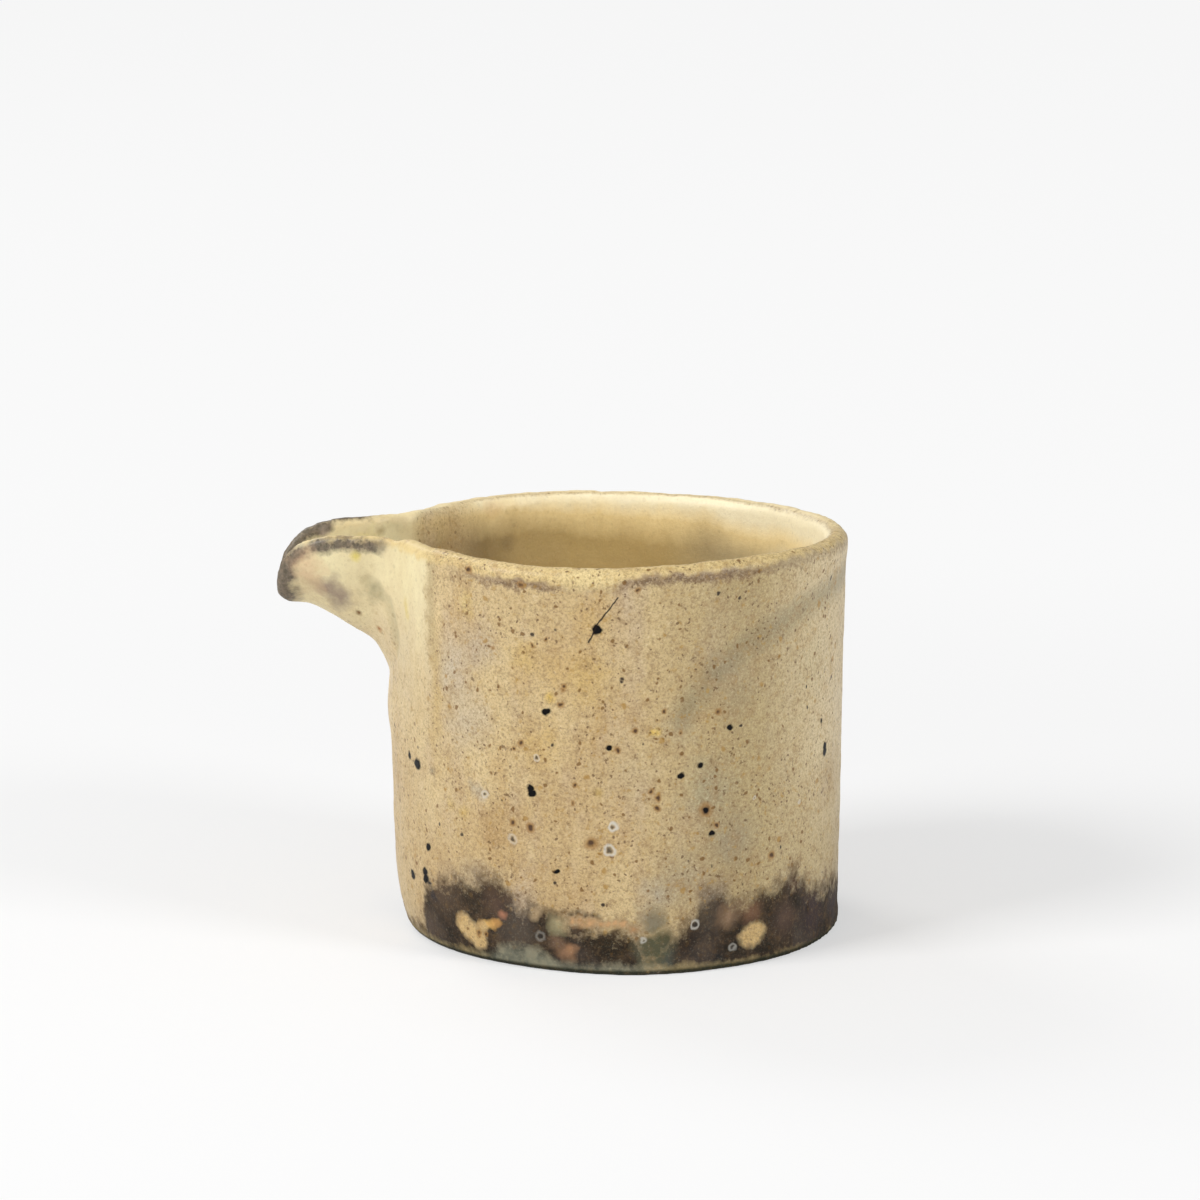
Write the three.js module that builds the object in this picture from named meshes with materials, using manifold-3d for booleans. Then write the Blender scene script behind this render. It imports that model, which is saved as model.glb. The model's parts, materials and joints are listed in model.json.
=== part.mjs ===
// A small hand-built stoneware pouring jug with a beak spout and no handle.
// A rolled wall stands on a cut base slab, a soft coil seals the inside corner, and the pulled
// spout is luted over a notch in the wall, with its joint smeared out into a thin collar.
// Millimetres, Z up. The origin is the middle of the foot and the spout points along -X.
import * as THREE from "three";
import { mergeVertices } from "three/addons/utils/BufferGeometryUtils.js";
import Module from "manifold-3d";

const wasm = await Module();
wasm.setup();

// Driving sizes of the pot.
const rimHeight = 59.0;
const rimRadius = 33.9; // outside, at the rim
const barrelRadius = 33.0; // outside, over most of the height
const footTuck = 1.3; // how far the side draws in at the very foot
const footTuckHeight = 7.5;
const footEdge = 0.4; // round under the slab's edge
const slabHeight = 5;
const wallThickness = 3.5;
const rimThickness = 3.4;
const rimCrown = 1.7; // height of the rounded lip

// A blunt corner in the foot's edge, at the front, and a fuller stretch to the right of it.
const footCorner = 1.2;
const footCornerAngle = -87; // degrees round the pot
const footCornerWidth = 13;
const footBulge = 0.7;
const footBulgeAngle = -46;
const footBulgeWidth = 12;
const footCornerHeight = 2.5; // how far up the wall both are felt

const lean = 1.25; // how far the pot stands towards the spout from its foot
const leanHeight = 4;

// The maker's hand: slow waves round the wall, and a rim that rises towards the front.
const wallWave = 0.32;
const rimTilt = 0.75;
const rimWave = 0.19;
const rimWaveDepth = 16; // how far down the wall the rim's waves are felt

// A finger's soft crease across the right of the front.
const creaseDepth = 0.75;
const creaseWidth = 3.4;
const creasePath = [ // degrees round the pot, and share of the rim's height
  { angle: -2, up: 0.902 },
  { angle: -30, up: 0.875 },
  { angle: -52, up: 0.81 },
  { angle: -65, up: 0.739 },
  { angle: -73, up: 0.647 },
];

// The joints between the pieces, where slip holds them together.
const slipGap = 0.3;

// Corner coil, pressed into the inside corner of wall and slab.
const cornerCoil = 4.6; // radius of the fingertip that wipes it hollow

// The spout, and its sections from inside the wall to the tip. Each one is a U that hangs between
// its two lips. Its keel and lips are given as shares of the spout's reach and the rim's height.
const spoutRun = 18; // from the side of the pot to the tip
const spoutReach = barrelRadius + spoutRun; // from the middle of the foot
const spoutRoot = 17.6; // half the width of the first section
const spoutFloor = 5.6; // clay under the channel there
const spoutSections = [
  { keel: [0.616, 0.556], lip: [0.557, 0.997], wide: 1, floor: 1 },
  { keel: [0.676, 0.639], lip: [0.627, 1.003], wide: 0.705, floor: 0.82 },
  { keel: [0.72, 0.707], lip: [0.694, 1.005], wide: 0.528, floor: 0.625 },
  { keel: [0.784, 0.746], lip: [0.776, 1.002], wide: 0.46, floor: 0.536 },
  { keel: [0.849, 0.781], lip: [0.859, 0.997], wide: 0.409, floor: 0.482 },
  { keel: [0.906, 0.805], lip: [0.933, 0.975], wide: 0.352, floor: 0.429 },
  { keel: [0.945, 0.808], lip: [0.984, 0.925], wide: 0.284, floor: 0.375 },
  { keel: [0.961, 0.808], lip: [1, 0.875], wide: 0.216, floor: 0.339 },
  { keel: [0.965, 0.807], lip: [1, 0.839], wide: 0.148, floor: 0.286 },
];
const spoutLip = 1.9; // thickness of the spout's walls at their lips
const spoutLipRound = 0.7;
const spoutFullness = 1.3; // over 1 draws the lower sides of the U in towards its keel
const channelMouth = 9.5; // how far the pouring channel runs in through the wall
const channelWidening = 0.42; // how much wider it opens there, as a share of its width

// The wall is pressed in a little where the spout is luted on.
const spoutPress = 0.6;
const spoutPressWidth = 15;

// The collar of clay smeared from the spout's root onto the wall.
const collarHalfWidth = 20.4;
const collarTop = 57;
const collarMiddle = 45;
const collarBottom = 29;
const collarEdge = 0.3; // thickness where it ends
const collarSwell = 0.45; // more of it where the clay gathers just under the spout
const collarSwellHeight = 33.4;
const collarSwellWidth = 12;
const collarSwellRise = 5.2;

// Mesh steps.
const turnSteps = 72;
const sideSteps = 12;
const rimSteps = 6;
const sectionSteps = 8;
const spoutSteps = 20;
const collarRays = 36;
const collarRings = 4;

const degrees = Math.PI / 180;

const smoothStep = (low, high, x) => THREE.MathUtils.smoothstep(x, low, high);

// Outside radius of the pot before the hand's waves.
const outsideRadius = (z) =>
  barrelRadius +
  (rimRadius - barrelRadius) * (z / rimHeight) ** 4 -
  footTuck * Math.exp(-Math.max(z, 0) / footTuckHeight);

const insideRadius = (z) => outsideRadius(z) - wallThickness;

const axisShift = (z) => -lean * (1 - Math.exp(-Math.max(z, 0) / leanHeight));

const creaseCurve = new THREE.CatmullRomCurve3(
  creasePath.map((p) => new THREE.Vector3(p.angle * degrees * rimRadius, p.up * rimHeight, 0)),
);
const creasePoints = creaseCurve.getPoints(40);

// Depth of the crease at an angle and height, fading towards both of its ends.
function crease(angle, z) {
  const here = new THREE.Vector3(angle * rimRadius, z, 0);
  let nearest = Infinity;
  let along = 0;
  creasePoints.forEach((point, i) => {
    const distance = here.distanceTo(point);
    if (distance < nearest) {
      nearest = distance;
      along = i / (creasePoints.length - 1);
    }
  });
  const fade = Math.sin(Math.PI * THREE.MathUtils.clamp(along * 0.86 + 0.07, 0, 1));
  return creaseDepth * fade * Math.exp(-((nearest / creaseWidth) ** 2));
}

// How far the wall is pressed in under and beside the spout.
function press(angle, z) {
  const side = (Math.PI - Math.abs(angle)) * barrelRadius;
  const above = smoothStep(collarBottom - 5, collarBottom + 7, z);
  return spoutPress * above * Math.exp(-((side / spoutPressWidth) ** 2));
}

// How far the foot stands out at its corner and beside it.
function corner(angle, z) {
  const side = (middle, width) => ((angle - middle * degrees) * barrelRadius) / width;
  return (
    (footCorner * Math.exp(-(side(footCornerAngle, footCornerWidth) ** 2)) +
      footBulge * Math.exp(-(side(footBulgeAngle, footBulgeWidth) ** 2))) *
    Math.exp(-Math.max(z, 0) / footCornerHeight)
  );
}

// How far the hand has pushed the wall out (or in) from a true circle.
const handPush = (angle, z) =>
  wallWave *
    (0.55 * Math.sin(2 * angle + 0.6) +
      0.35 * Math.sin(3 * angle - 1.2 + z / 24) +
      0.3 * Math.sin(5 * angle + 2.1 - z / 17)) +
  corner(angle, z) -
  crease(angle, z) -
  press(angle, z);

// How far the rim's tilt and waves lift a point, dying out down the wall.
const rimLift = (angle, z) =>
  smoothStep(rimHeight - rimWaveDepth, rimHeight, z) *
  (rimTilt * Math.sin(angle - 2.8) +
    rimWave * Math.sin(2 * angle + 2.54) +
    rimWave * Math.sin(3 * angle - 2.61) +
    rimWave * 0.58 * Math.sin(4 * angle - 0.75));

// Moves each vertex of a true revolved form to where the hand left it.
function handForm(geometry) {
  const position = geometry.attributes.position;
  for (let i = 0; i < position.count; i++) {
    const x = position.getX(i);
    const y = position.getY(i);
    const z = position.getZ(i);
    const radius = Math.hypot(x, y);
    const angle = radius > 1e-6 ? Math.atan2(y, x) : 0;
    const pushed = radius + handPush(angle, z) * Math.min(1, radius / barrelRadius);
    const r = radius > 1e-6 ? pushed : 0;
    position.setXYZ(
      i,
      axisShift(z) + r * Math.cos(angle),
      r * Math.sin(angle),
      z + rimLift(angle, z),
    );
  }
  return geometry;
}

// Turns a profile of [radius, height] about the pot's axis.
function revolve(profile) {
  const points = profile.map(([r, z]) => new THREE.Vector2(r, z));
  return handForm(new THREE.LatheGeometry(points, turnSteps).rotateX(Math.PI / 2));
}

function solidFrom(geometry) {
  const bare = geometry.clone();
  bare.deleteAttribute("normal");
  bare.deleteAttribute("uv");
  const merged = mergeVertices(bare, 1e-4);
  return new wasm.Manifold(
    new wasm.Mesh({
      numProp: 3,
      vertProperties: merged.attributes.position.array,
      triVerts: new Uint32Array(merged.index.array),
    }),
  );
}

function geometryFrom(solid) {
  const { numProp, numVert, vertProperties, triVerts } = solid.getMesh();
  const position = new Float32Array(numVert * 3);
  for (let i = 0; i < numVert; i++) {
    position.set(vertProperties.subarray(i * numProp, i * numProp + 3), i * 3);
  }
  const geometry = new THREE.BufferGeometry();
  geometry.setAttribute("position", new THREE.BufferAttribute(position, 3));
  geometry.setIndex(new THREE.BufferAttribute(triVerts, 1));
  geometry.computeVertexNormals();
  return geometry;
}

const steps = (count, from, to) =>
  Array.from({ length: count + 1 }, (_, i) => from + ((to - from) * i) / count);

// The wall: up the outside, over the rounded lip and down the inside.
function makeWall() {
  const shoulder = rimHeight - rimCrown;
  const half = rimThickness / 2;
  const lipMiddle = outsideRadius(shoulder) - half;
  const outside = steps(sideSteps, slabHeight, shoulder).map((z) => [outsideRadius(z), z]);
  const lip = steps(rimSteps, 0, Math.PI)
    .slice(1, -1)
    .map((t) => [lipMiddle + half * Math.cos(t), shoulder + rimCrown * Math.sin(t)]);
  const thinning = (z) =>
    (wallThickness - rimThickness) * smoothStep(shoulder - rimWaveDepth, shoulder, z);
  const inside = steps(sideSteps, shoulder, slabHeight).map((z) => [
    insideRadius(z) + thinning(z),
    z,
  ]);
  return revolve([...outside, ...lip, ...inside, outside[0]]);
}

// The slab under it, with a softened lower edge.
function makeSlab() {
  const edge = steps(4, -Math.PI / 2, 0).map((t) => [
    outsideRadius(footEdge) - footEdge + footEdge * Math.cos(t),
    footEdge + footEdge * Math.sin(t),
  ]);
  const side = steps(2, footEdge, slabHeight)
    .slice(1)
    .map((z) => [outsideRadius(z), z]);
  const flat = outsideRadius(footEdge) - footEdge;
  return revolve([[0, 0], [flat / 2, 0], ...edge, ...side, [flat / 2, slabHeight], [0, slabHeight]]);
}

// The coil in the inside corner, wiped hollow by a fingertip.
function makeCornerCoil() {
  const back = (z) => insideRadius(z) - slipGap;
  const centre = [back(slabHeight) - cornerCoil, slabHeight + cornerCoil];
  const wiped = steps(6, -20 * degrees, -76 * degrees).map((t) => [
    centre[0] + cornerCoil * Math.cos(t),
    centre[1] + cornerCoil * Math.sin(t),
  ]);
  const top = wiped[0][1];
  const toe = wiped.at(-1)[0];
  return revolve([
    [toe, slabHeight],
    [back(slabHeight), slabHeight],
    [back(top), top],
    ...wiped,
    [toe, slabHeight],
  ]);
}

// A value from one spout section to the next, along a smooth curve through all of them.
function along(values, share) {
  const curve = new THREE.CatmullRomCurve3(values.map((v) => new THREE.Vector3(v, 0, 0)));
  return curve.getPoint(share).x;
}

// The frame of one section of the spout: its keel, the way up to its lips, and its sizes.
function spoutFrame(share) {
  const at = (pick) => along(spoutSections.map(pick), share);
  const point = (pick) =>
    new THREE.Vector3(-spoutReach * at((s) => pick(s)[0]), 0, rimHeight * at((s) => pick(s)[1]));
  const keel = point((s) => s.keel);
  const lip = point((s) => s.lip);
  return {
    keel,
    up: lip.clone().sub(keel).normalize(),
    depth: lip.distanceTo(keel),
    halfWidth: spoutRoot * at((s) => s.wide),
    floor: spoutFloor * at((s) => s.floor),
  };
}

// One U section as [across, up] pairs, from lip to lip round its keel.
function uSection(halfWidth, low, high) {
  return steps(2 * sectionSteps, -Math.PI / 2, Math.PI / 2).map((t) => [
    halfWidth * Math.sign(t) * Math.abs(Math.sin(t)) ** spoutFullness,
    low + (high - low) * (1 - Math.cos(t)),
  ]);
}

// The outside of the spout: its U closed straight across between rounded lips.
function outsideSection({ halfWidth, depth }, grow) {
  const wide = halfWidth + grow;
  const round = Math.min(spoutLipRound, wide / 3);
  const u = uSection(wide, -grow, depth - round);
  return [[-(wide - round), depth], [-(wide - round * 0.3), depth - round * 0.3], ...u,
    [wide - round * 0.3, depth - round * 0.3], [wide - round, depth]];
}

// The pouring channel: a smaller U that opens out over the lips and runs on above them.
function channelSection({ halfWidth, depth, floor }) {
  const lip = Math.min(spoutLip, halfWidth * 0.6);
  const narrow = halfWidth - lip;
  const round = Math.min(spoutLipRound, lip / 3);
  const over = 4;
  const u = uSection(narrow, floor, depth - round);
  return [[-(narrow + round), depth + over], [-(narrow + round), depth], ...u,
    [narrow + round, depth], [narrow + round, depth + over]];
}

// Skins a row of sections and closes both ends.
function loft(rings) {
  const size = rings[0].length;
  const vertices = rings.flat();
  const faces = [];
  for (let i = 0; i + 1 < rings.length; i++) {
    for (let j = 0; j < size; j++) {
      const a = i * size + j;
      const b = i * size + ((j + 1) % size);
      faces.push(a, a + size, b, b, a + size, b + size);
    }
  }
  const cap = (ring, turned) => {
    const middle = vertices.length;
    const start = ring * size;
    vertices.push(
      rings[ring].reduce((sum, p) => sum.add(p), new THREE.Vector3()).divideScalar(size),
    );
    for (let j = 0; j < size; j++) {
      const a = start + j;
      const b = start + ((j + 1) % size);
      faces.push(...(turned ? [middle, b, a] : [middle, a, b]));
    }
  };
  cap(0, false);
  cap(rings.length - 1, true);
  const geometry = new THREE.BufferGeometry().setFromPoints(vertices);
  geometry.setIndex(faces);
  return geometry;
}

const place = (frame, [across, up]) =>
  frame.keel.clone().addScaledVector(frame.up, up).add(new THREE.Vector3(0, across, 0));

const spoutRings = (section) =>
  steps(spoutSteps, 0, 1).map((share) => {
    const frame = spoutFrame(share);
    return section(frame).map((p) => place(frame, p));
  });

const spoutBlank = (grow) => solidFrom(loft(spoutRings((f) => outsideSection(f, grow))));

// The channel, carried in through the wall from its first section.
function makeChannel() {
  const rings = spoutRings(channelSection);
  const start = rings[3];
  const mouth = [1, 0.6, 0.42, 0.34, 0.25, 0.17, 0.08].map((share) => {
    const wider = 1 + channelWidening * smoothStep(0.03, 0.5, share);
    return start.map((p) => new THREE.Vector3(p.x + channelMouth * share, p.y * wider, p.z));
  });
  const past = rings[rings.length - 1].map((p) => new THREE.Vector3(p.x - 1.5, p.y, p.z - 0.6));
  return solidFrom(loft([...mouth, ...rings.slice(3), past]));
}

// Everything inside the wall's outer face, run up past the rim: the spout and collar stop at it.
function wallEnvelope(gap) {
  const top = rimHeight + 20;
  const shoulder = rimHeight - rimCrown;
  const side = steps(sideSteps, 0, shoulder).map((z) => [outsideRadius(z) + gap, z]);
  return solidFrom(revolve([[0, 0], ...side, [outsideRadius(shoulder) + gap, top], [0, top]]));
}

// The smeared collar, a thin shield on the wall that dies away from the spout's root.
function collarBlank() {
  const ringPoint = (ring, ray, raised) => {
    const share = ring / collarRings;
    const turn = (2 * Math.PI * ray) / collarRays;
    const c = Math.cos(turn);
    const s = Math.sin(turn);
    const reach = s > 0 ? collarTop - collarMiddle : collarMiddle - collarBottom;
    const across = collarHalfWidth * Math.sign(c) * Math.abs(c) ** 0.75;
    const rise = reach * Math.sign(s) * Math.abs(s) ** (s > 0 ? 0.45 : 0.9);
    const z = collarMiddle + rise * share;
    const angle = Math.PI + (across * share) / rimRadius;
    const wrapped = angle > Math.PI ? angle - 2 * Math.PI : angle;
    const swell =
      ((across * share) / collarSwellWidth) ** 2 + ((z - collarSwellHeight) / collarSwellRise) ** 2;
    const thick = collarEdge + collarSwell * Math.exp(-swell);
    const r = outsideRadius(z) + handPush(wrapped, z) + slipGap + (raised ? thick : 0);
    return new THREE.Vector3(axisShift(z) + r * Math.cos(angle), r * Math.sin(angle), z);
  };
  const vertices = [ringPoint(0, 0, true), ringPoint(0, 0, false)];
  const faces = [];
  for (let ring = 1; ring <= collarRings; ring++) {
    for (let ray = 0; ray < collarRays; ray++) {
      vertices.push(ringPoint(ring, ray, true), ringPoint(ring, ray, false));
    }
  }
  const outer = (ring, ray) => (ring === 0 ? 0 : 2 + 2 * ((ring - 1) * collarRays + (ray % collarRays)));
  for (let ray = 0; ray < collarRays; ray++) {
    for (let ring = 0; ring < collarRings; ring++) {
      const a = outer(ring, ray);
      const b = outer(ring, ray + 1);
      const c = outer(ring + 1, ray);
      const d = outer(ring + 1, ray + 1);
      faces.push(a, c, d, a + 1, d + 1, c + 1);
      if (ring > 0) {
        faces.push(a, d, b, a + 1, b + 1, d + 1);
      }
    }
    const c = outer(collarRings, ray);
    const d = outer(collarRings, ray + 1);
    faces.push(c, d + 1, d, c, c + 1, d + 1);
  }
  const geometry = new THREE.BufferGeometry().setFromPoints(vertices);
  geometry.setIndex(faces);
  return solidFrom(geometry);
}

const glaze = new THREE.MeshStandardMaterial({ color: "#cdb68a", roughness: 0.5, metalness: 0 });
const paleGlaze = new THREE.MeshStandardMaterial({ color: "#e4d49b", roughness: 0.45, metalness: 0 });
const scorchedFoot = new THREE.MeshStandardMaterial({ color: "#5c4a3b", roughness: 0.65, metalness: 0 });

function piece(name, geometry, material) {
  const mesh = new THREE.Mesh(geometry, material);
  mesh.name = name;
  return mesh;
}

const channel = makeChannel();
const wall = solidFrom(makeWall()).subtract(channel);
const spout = spoutBlank(0).subtract(channel).subtract(wallEnvelope(slipGap));
const collar = collarBlank().subtract(spoutBlank(slipGap));

const jug = new THREE.Group();
jug.add(
  piece("body_wall", geometryFrom(wall), glaze),
  piece("base_slab", makeSlab(), scorchedFoot),
  piece("corner_coil", makeCornerCoil(), glaze),
  piece("spout", geometryFrom(spout), paleGlaze),
  piece("spout_collar", geometryFrom(collar), paleGlaze),
);

export default jug;
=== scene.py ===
import json
import math
import bmesh
import bpy
import numpy as np
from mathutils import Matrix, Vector
from types import SimpleNamespace

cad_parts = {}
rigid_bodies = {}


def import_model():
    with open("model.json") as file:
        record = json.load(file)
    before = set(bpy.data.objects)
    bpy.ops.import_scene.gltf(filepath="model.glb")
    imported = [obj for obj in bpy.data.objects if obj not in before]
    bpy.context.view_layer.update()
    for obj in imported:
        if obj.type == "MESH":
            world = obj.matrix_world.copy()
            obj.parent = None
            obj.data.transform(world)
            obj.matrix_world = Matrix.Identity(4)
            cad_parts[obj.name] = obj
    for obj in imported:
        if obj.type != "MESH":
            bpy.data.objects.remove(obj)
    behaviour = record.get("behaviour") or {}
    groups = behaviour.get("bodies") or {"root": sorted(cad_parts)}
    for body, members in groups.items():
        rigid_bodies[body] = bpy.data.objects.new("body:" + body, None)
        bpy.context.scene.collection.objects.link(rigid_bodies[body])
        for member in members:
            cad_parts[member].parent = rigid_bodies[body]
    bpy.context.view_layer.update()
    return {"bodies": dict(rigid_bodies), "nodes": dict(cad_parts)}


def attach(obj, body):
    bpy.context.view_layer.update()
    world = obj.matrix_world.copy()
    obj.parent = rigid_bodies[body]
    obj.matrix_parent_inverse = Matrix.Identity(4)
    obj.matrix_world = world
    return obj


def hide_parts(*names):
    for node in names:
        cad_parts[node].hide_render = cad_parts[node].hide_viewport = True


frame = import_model()
print("frame loaded")

mm = 0.001  # the sizes below are in mm and become metres where a mesh or a tree is made


# Adds a node: plain values and links fill its shown inputs in order, None leaves one alone,
# and sockets names inputs out of order. A node given as a value stands for its first output.
def add(tree, kind, *links, sockets=None, **settings):
    made = tree.nodes.new(kind)
    for name, value in settings.items():
        setattr(made, name, value)
    shown = [s for s in made.inputs if s.enabled]
    wanted = [(s, v) for s, v in zip(shown, links) if v is not None]
    wanted += [(made.inputs[name], v) for name, v in (sockets or {}).items()]
    for socket, value in wanted:
        if isinstance(value, bpy.types.Node):
            value = next(s for s in value.outputs if s.enabled)
        if isinstance(value, bpy.types.NodeSocket):
            tree.links.new(value, socket)
        else:
            socket.default_value = value
    return made


def hexColour(code):
    parts = [int(code[i:i + 2], 16) / 255 for i in (1, 3, 5)]
    return [c / 12.92 if c <= 0.04045 else ((c + 0.055) / 1.055) ** 2.4 for c in parts] + [1.0]


def newObject(name, data):
    made = bpy.data.objects.new(name, data)
    bpy.context.scene.collection.objects.link(made)
    return made


def meshObject(name, points, edges=(), faces=()):
    mesh = bpy.data.meshes.new(name)
    mesh.from_pydata([Vector(p) * mm for p in points], edges, faces)
    return newObject(name, mesh)


def copyOf(piece, name):
    made = newObject(name, piece.data.copy())
    made.data.name = name
    return made


def newMaterial(name):
    material = bpy.data.materials.new(name)
    material.use_nodes = True
    material.node_tree.nodes.clear()
    return material, material.node_tree


# Turns what the modifiers make of a piece into its own plain mesh.
def settle(piece):
    bpy.context.view_layer.update()
    graph = bpy.context.evaluated_depsgraph_get()
    mesh = bpy.data.meshes.new_from_object(piece.evaluated_get(graph), preserve_all_data_layers=True,
                                           depsgraph=graph)
    piece.modifiers.clear()
    old, piece.data = piece.data, mesh
    bpy.data.meshes.remove(old)
    return piece


# "rimWave" becomes "Rim Wave", the name of a tree's input.
def spaced(name):
    return "".join(" " + letter if letter.isupper() else letter for letter in name).title()


def inMetres(sizes):
    return {spaced(name): size * mm for name, size in sizes.items()}


def newTree(name, inputs):
    tree = bpy.data.node_groups.new(name, "GeometryNodeTree")
    tree.interface.new_socket("Geometry", in_out="OUTPUT", socket_type="NodeSocketGeometry")
    tree.interface.new_socket("Geometry", in_out="INPUT", socket_type="NodeSocketGeometry")
    for label, kind in inputs.items():
        tree.interface.new_socket(label, in_out="INPUT", socket_type="NodeSocket" + kind)
    return tree


def runTree(piece, tree, values):
    modifier = piece.modifiers.new(tree.name, "NODES")
    modifier.node_group = tree
    for item in tree.interface.items_tree:
        if item.item_type == "SOCKET" and item.in_out == "INPUT" and item.name in values:
            modifier[item.identifier] = values[item.name]
    return settle(piece)


def cut(piece, tool, operation):
    modifier = piece.modifiers.new("cut", "BOOLEAN")
    modifier.object = tool
    modifier.operation = operation
    modifier.solver = "MANIFOLD"
    return settle(piece)


# The pot: a slab-built cup whose wall leans a little towards its spout.
pot = {
    "rimHeight": 59.0,
    "rimRadius": 33.9,
    "barrelRadius": 33.0,
    "footTuck": 1.3,
    "footTuckHeight": 7.5,
    "footEdge": 0.4,
    "slab": 5.0,
    "wall": 3.5,
    "rim": 3.4,
    "rimCrown": 1.7,
    "cornerWipe": 4.6,
    "voxel": 0.54,  # the grain of the skin when its parts are fused
    "turns": 240,
}
profileSteps = {
    "underside": 40, "footEdge": 6, "outside": 80, "rim": 12, "inside": 70, "corner": 10, "floor": 36,
}

# How the maker's hand moved it from a true revolved form. Each becomes an input of the tree below.
hand = {
    "lean": 1.25,
    "leanHeight": 4.0,
    "wallWave": 0.32,
    "rimWave": 1.0,
    "rimDepth": 16,
    "spoutPress": 0.5,  # how far the wall is pressed in where the spout is luted on
    "spoutPressWidth": 15,
    "pressFoot": 24,
    "pressTop": 36,
    "collarSwell": 1.05,  # the smeared joint under the spout
    "collarSwellWidth": 12,
    "collarSwellHeight": 33.4,
    "collarSwellRise": 5.2,
    "rootStep": 0.35,  # where the spout's clay ends on the wall, measured along the wall from its middle
    "rootStepStart": 9,
    "rootStepTop": 20.9,
    "rootStepEnd": 22.3,
    "footCorner": 1.2,  # a blunt corner in the foot's edge, at the front
    "footCornerWidth": 13,
    "footBulge": 0.7,  # a fuller stretch to the right of it
    "footBulgeWidth": 12,
    "footPushRise": 2.5,
    "creaseDepth": 0.75,
    "creaseWidth": 3.4,
}
footAngles = {"Foot Corner": -87, "Foot Bulge": -46}
# Share of the wave's size, waves round the pot, phase, and what the phase gains with each mm of height.
wallWaves = [(0.55, 2, 0.6, 0), (0.35, 3, -1.2, 1 / 24), (0.3, 5, 2.1, -1 / 17)]
# The first three of these for the rise and fall of the rim.
rimWaves = [(0.75, 1, -2.8), (0.19, 2, 2.54), (0.19, 3, -2.61), (0.11, 4, -0.75)]
creasePath = [(-2, 53.2), (-30, 51.6), (-52, 47.8), (-65, 43.6), (-73, 38.2)]  # degrees, mm


def outsideRadius(z):
    flare = (pot["rimRadius"] - pot["barrelRadius"]) * (z / pot["rimHeight"]) ** 4
    return pot["barrelRadius"] + flare - pot["footTuck"] * math.exp(-max(z, 0) / pot["footTuckHeight"])


def insideRadius(z):
    return outsideRadius(z) - pot["wall"]


def smoothStep(low, high, x):
    t = min(1, max(0, (x - low) / (high - low)))
    return t * t * (3 - 2 * t)


def leanAt(z):
    return -hand["lean"] * (1 - math.exp(-max(z, 0) / hand["leanHeight"]))


# A smooth curve through rows of numbers, at share 0 to 1 of its length in rows.
def through(rows, share):
    rows = np.array(rows, float)
    at = min(max(share, 0), 1) * (len(rows) - 1)
    i = min(int(at), len(rows) - 2)
    t = at - i
    before, a, b, after = (rows[min(max(k, 0), len(rows) - 1)] for k in (i - 1, i, i + 1, i + 2))
    return 0.5 * (2 * a + (b - before) * t + (2 * before - 5 * a + 4 * b - after) * t ** 2
                  + (3 * a - before - 3 * b + after) * t ** 3)


def onWall(angle, z):
    turn = math.radians(angle)
    return (leanAt(z) + outsideRadius(z) * math.cos(turn), outsideRadius(z) * math.sin(turn), z)


creaseSteps = 60
creaseGuide = meshObject("crease guide",
                         [onWall(*through(creasePath, i / creaseSteps)) for i in range(creaseSteps + 1)],
                         [(i, i + 1) for i in range(creaseSteps)])
depth = creaseGuide.data.attributes.new("depth", "FLOAT", "POINT")
for i in range(creaseSteps + 1):
    depth.data[i].value = math.sin(math.pi * (i / creaseSteps * 0.86 + 0.07))  # shallow towards its ends

# Geometry Nodes: a profile in the XZ plane is turned about Z, then pushed about as by hand.
handTree = newTree("Turned and pushed by hand", {
    "Turns": "Int", "Barrel Radius": "Float", "Rim Height": "Float",
    **{spaced(name): "Float" for name in hand}, "Crease": "Object", "Material": "Material",
})


# Multiplies masks. A mask is a node, a number, or a tuple: a source, where on it the mask starts and
# where it is whole, and the least and the most it gives.
def product(tree, *masks):
    whole = None
    for mask in masks:
        if isinstance(mask, tuple):
            mask = add(tree, "ShaderNodeMapRange", *mask)
        whole = mask if whole is None else add(tree, "ShaderNodeMath", whole, mask, operation="MULTIPLY")
    return whole


# A bell: 1 in the middle, falling off with the square of share, and with more where that is given.
def bell(tree, share, more=0.0):
    square = add(tree, "ShaderNodeMath", share, share, more, operation="MULTIPLY_ADD")
    square = add(tree, "ShaderNodeMath", square, -1, operation="MULTIPLY")
    return add(tree, "ShaderNodeMath", square, operation="EXPONENT")


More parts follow.
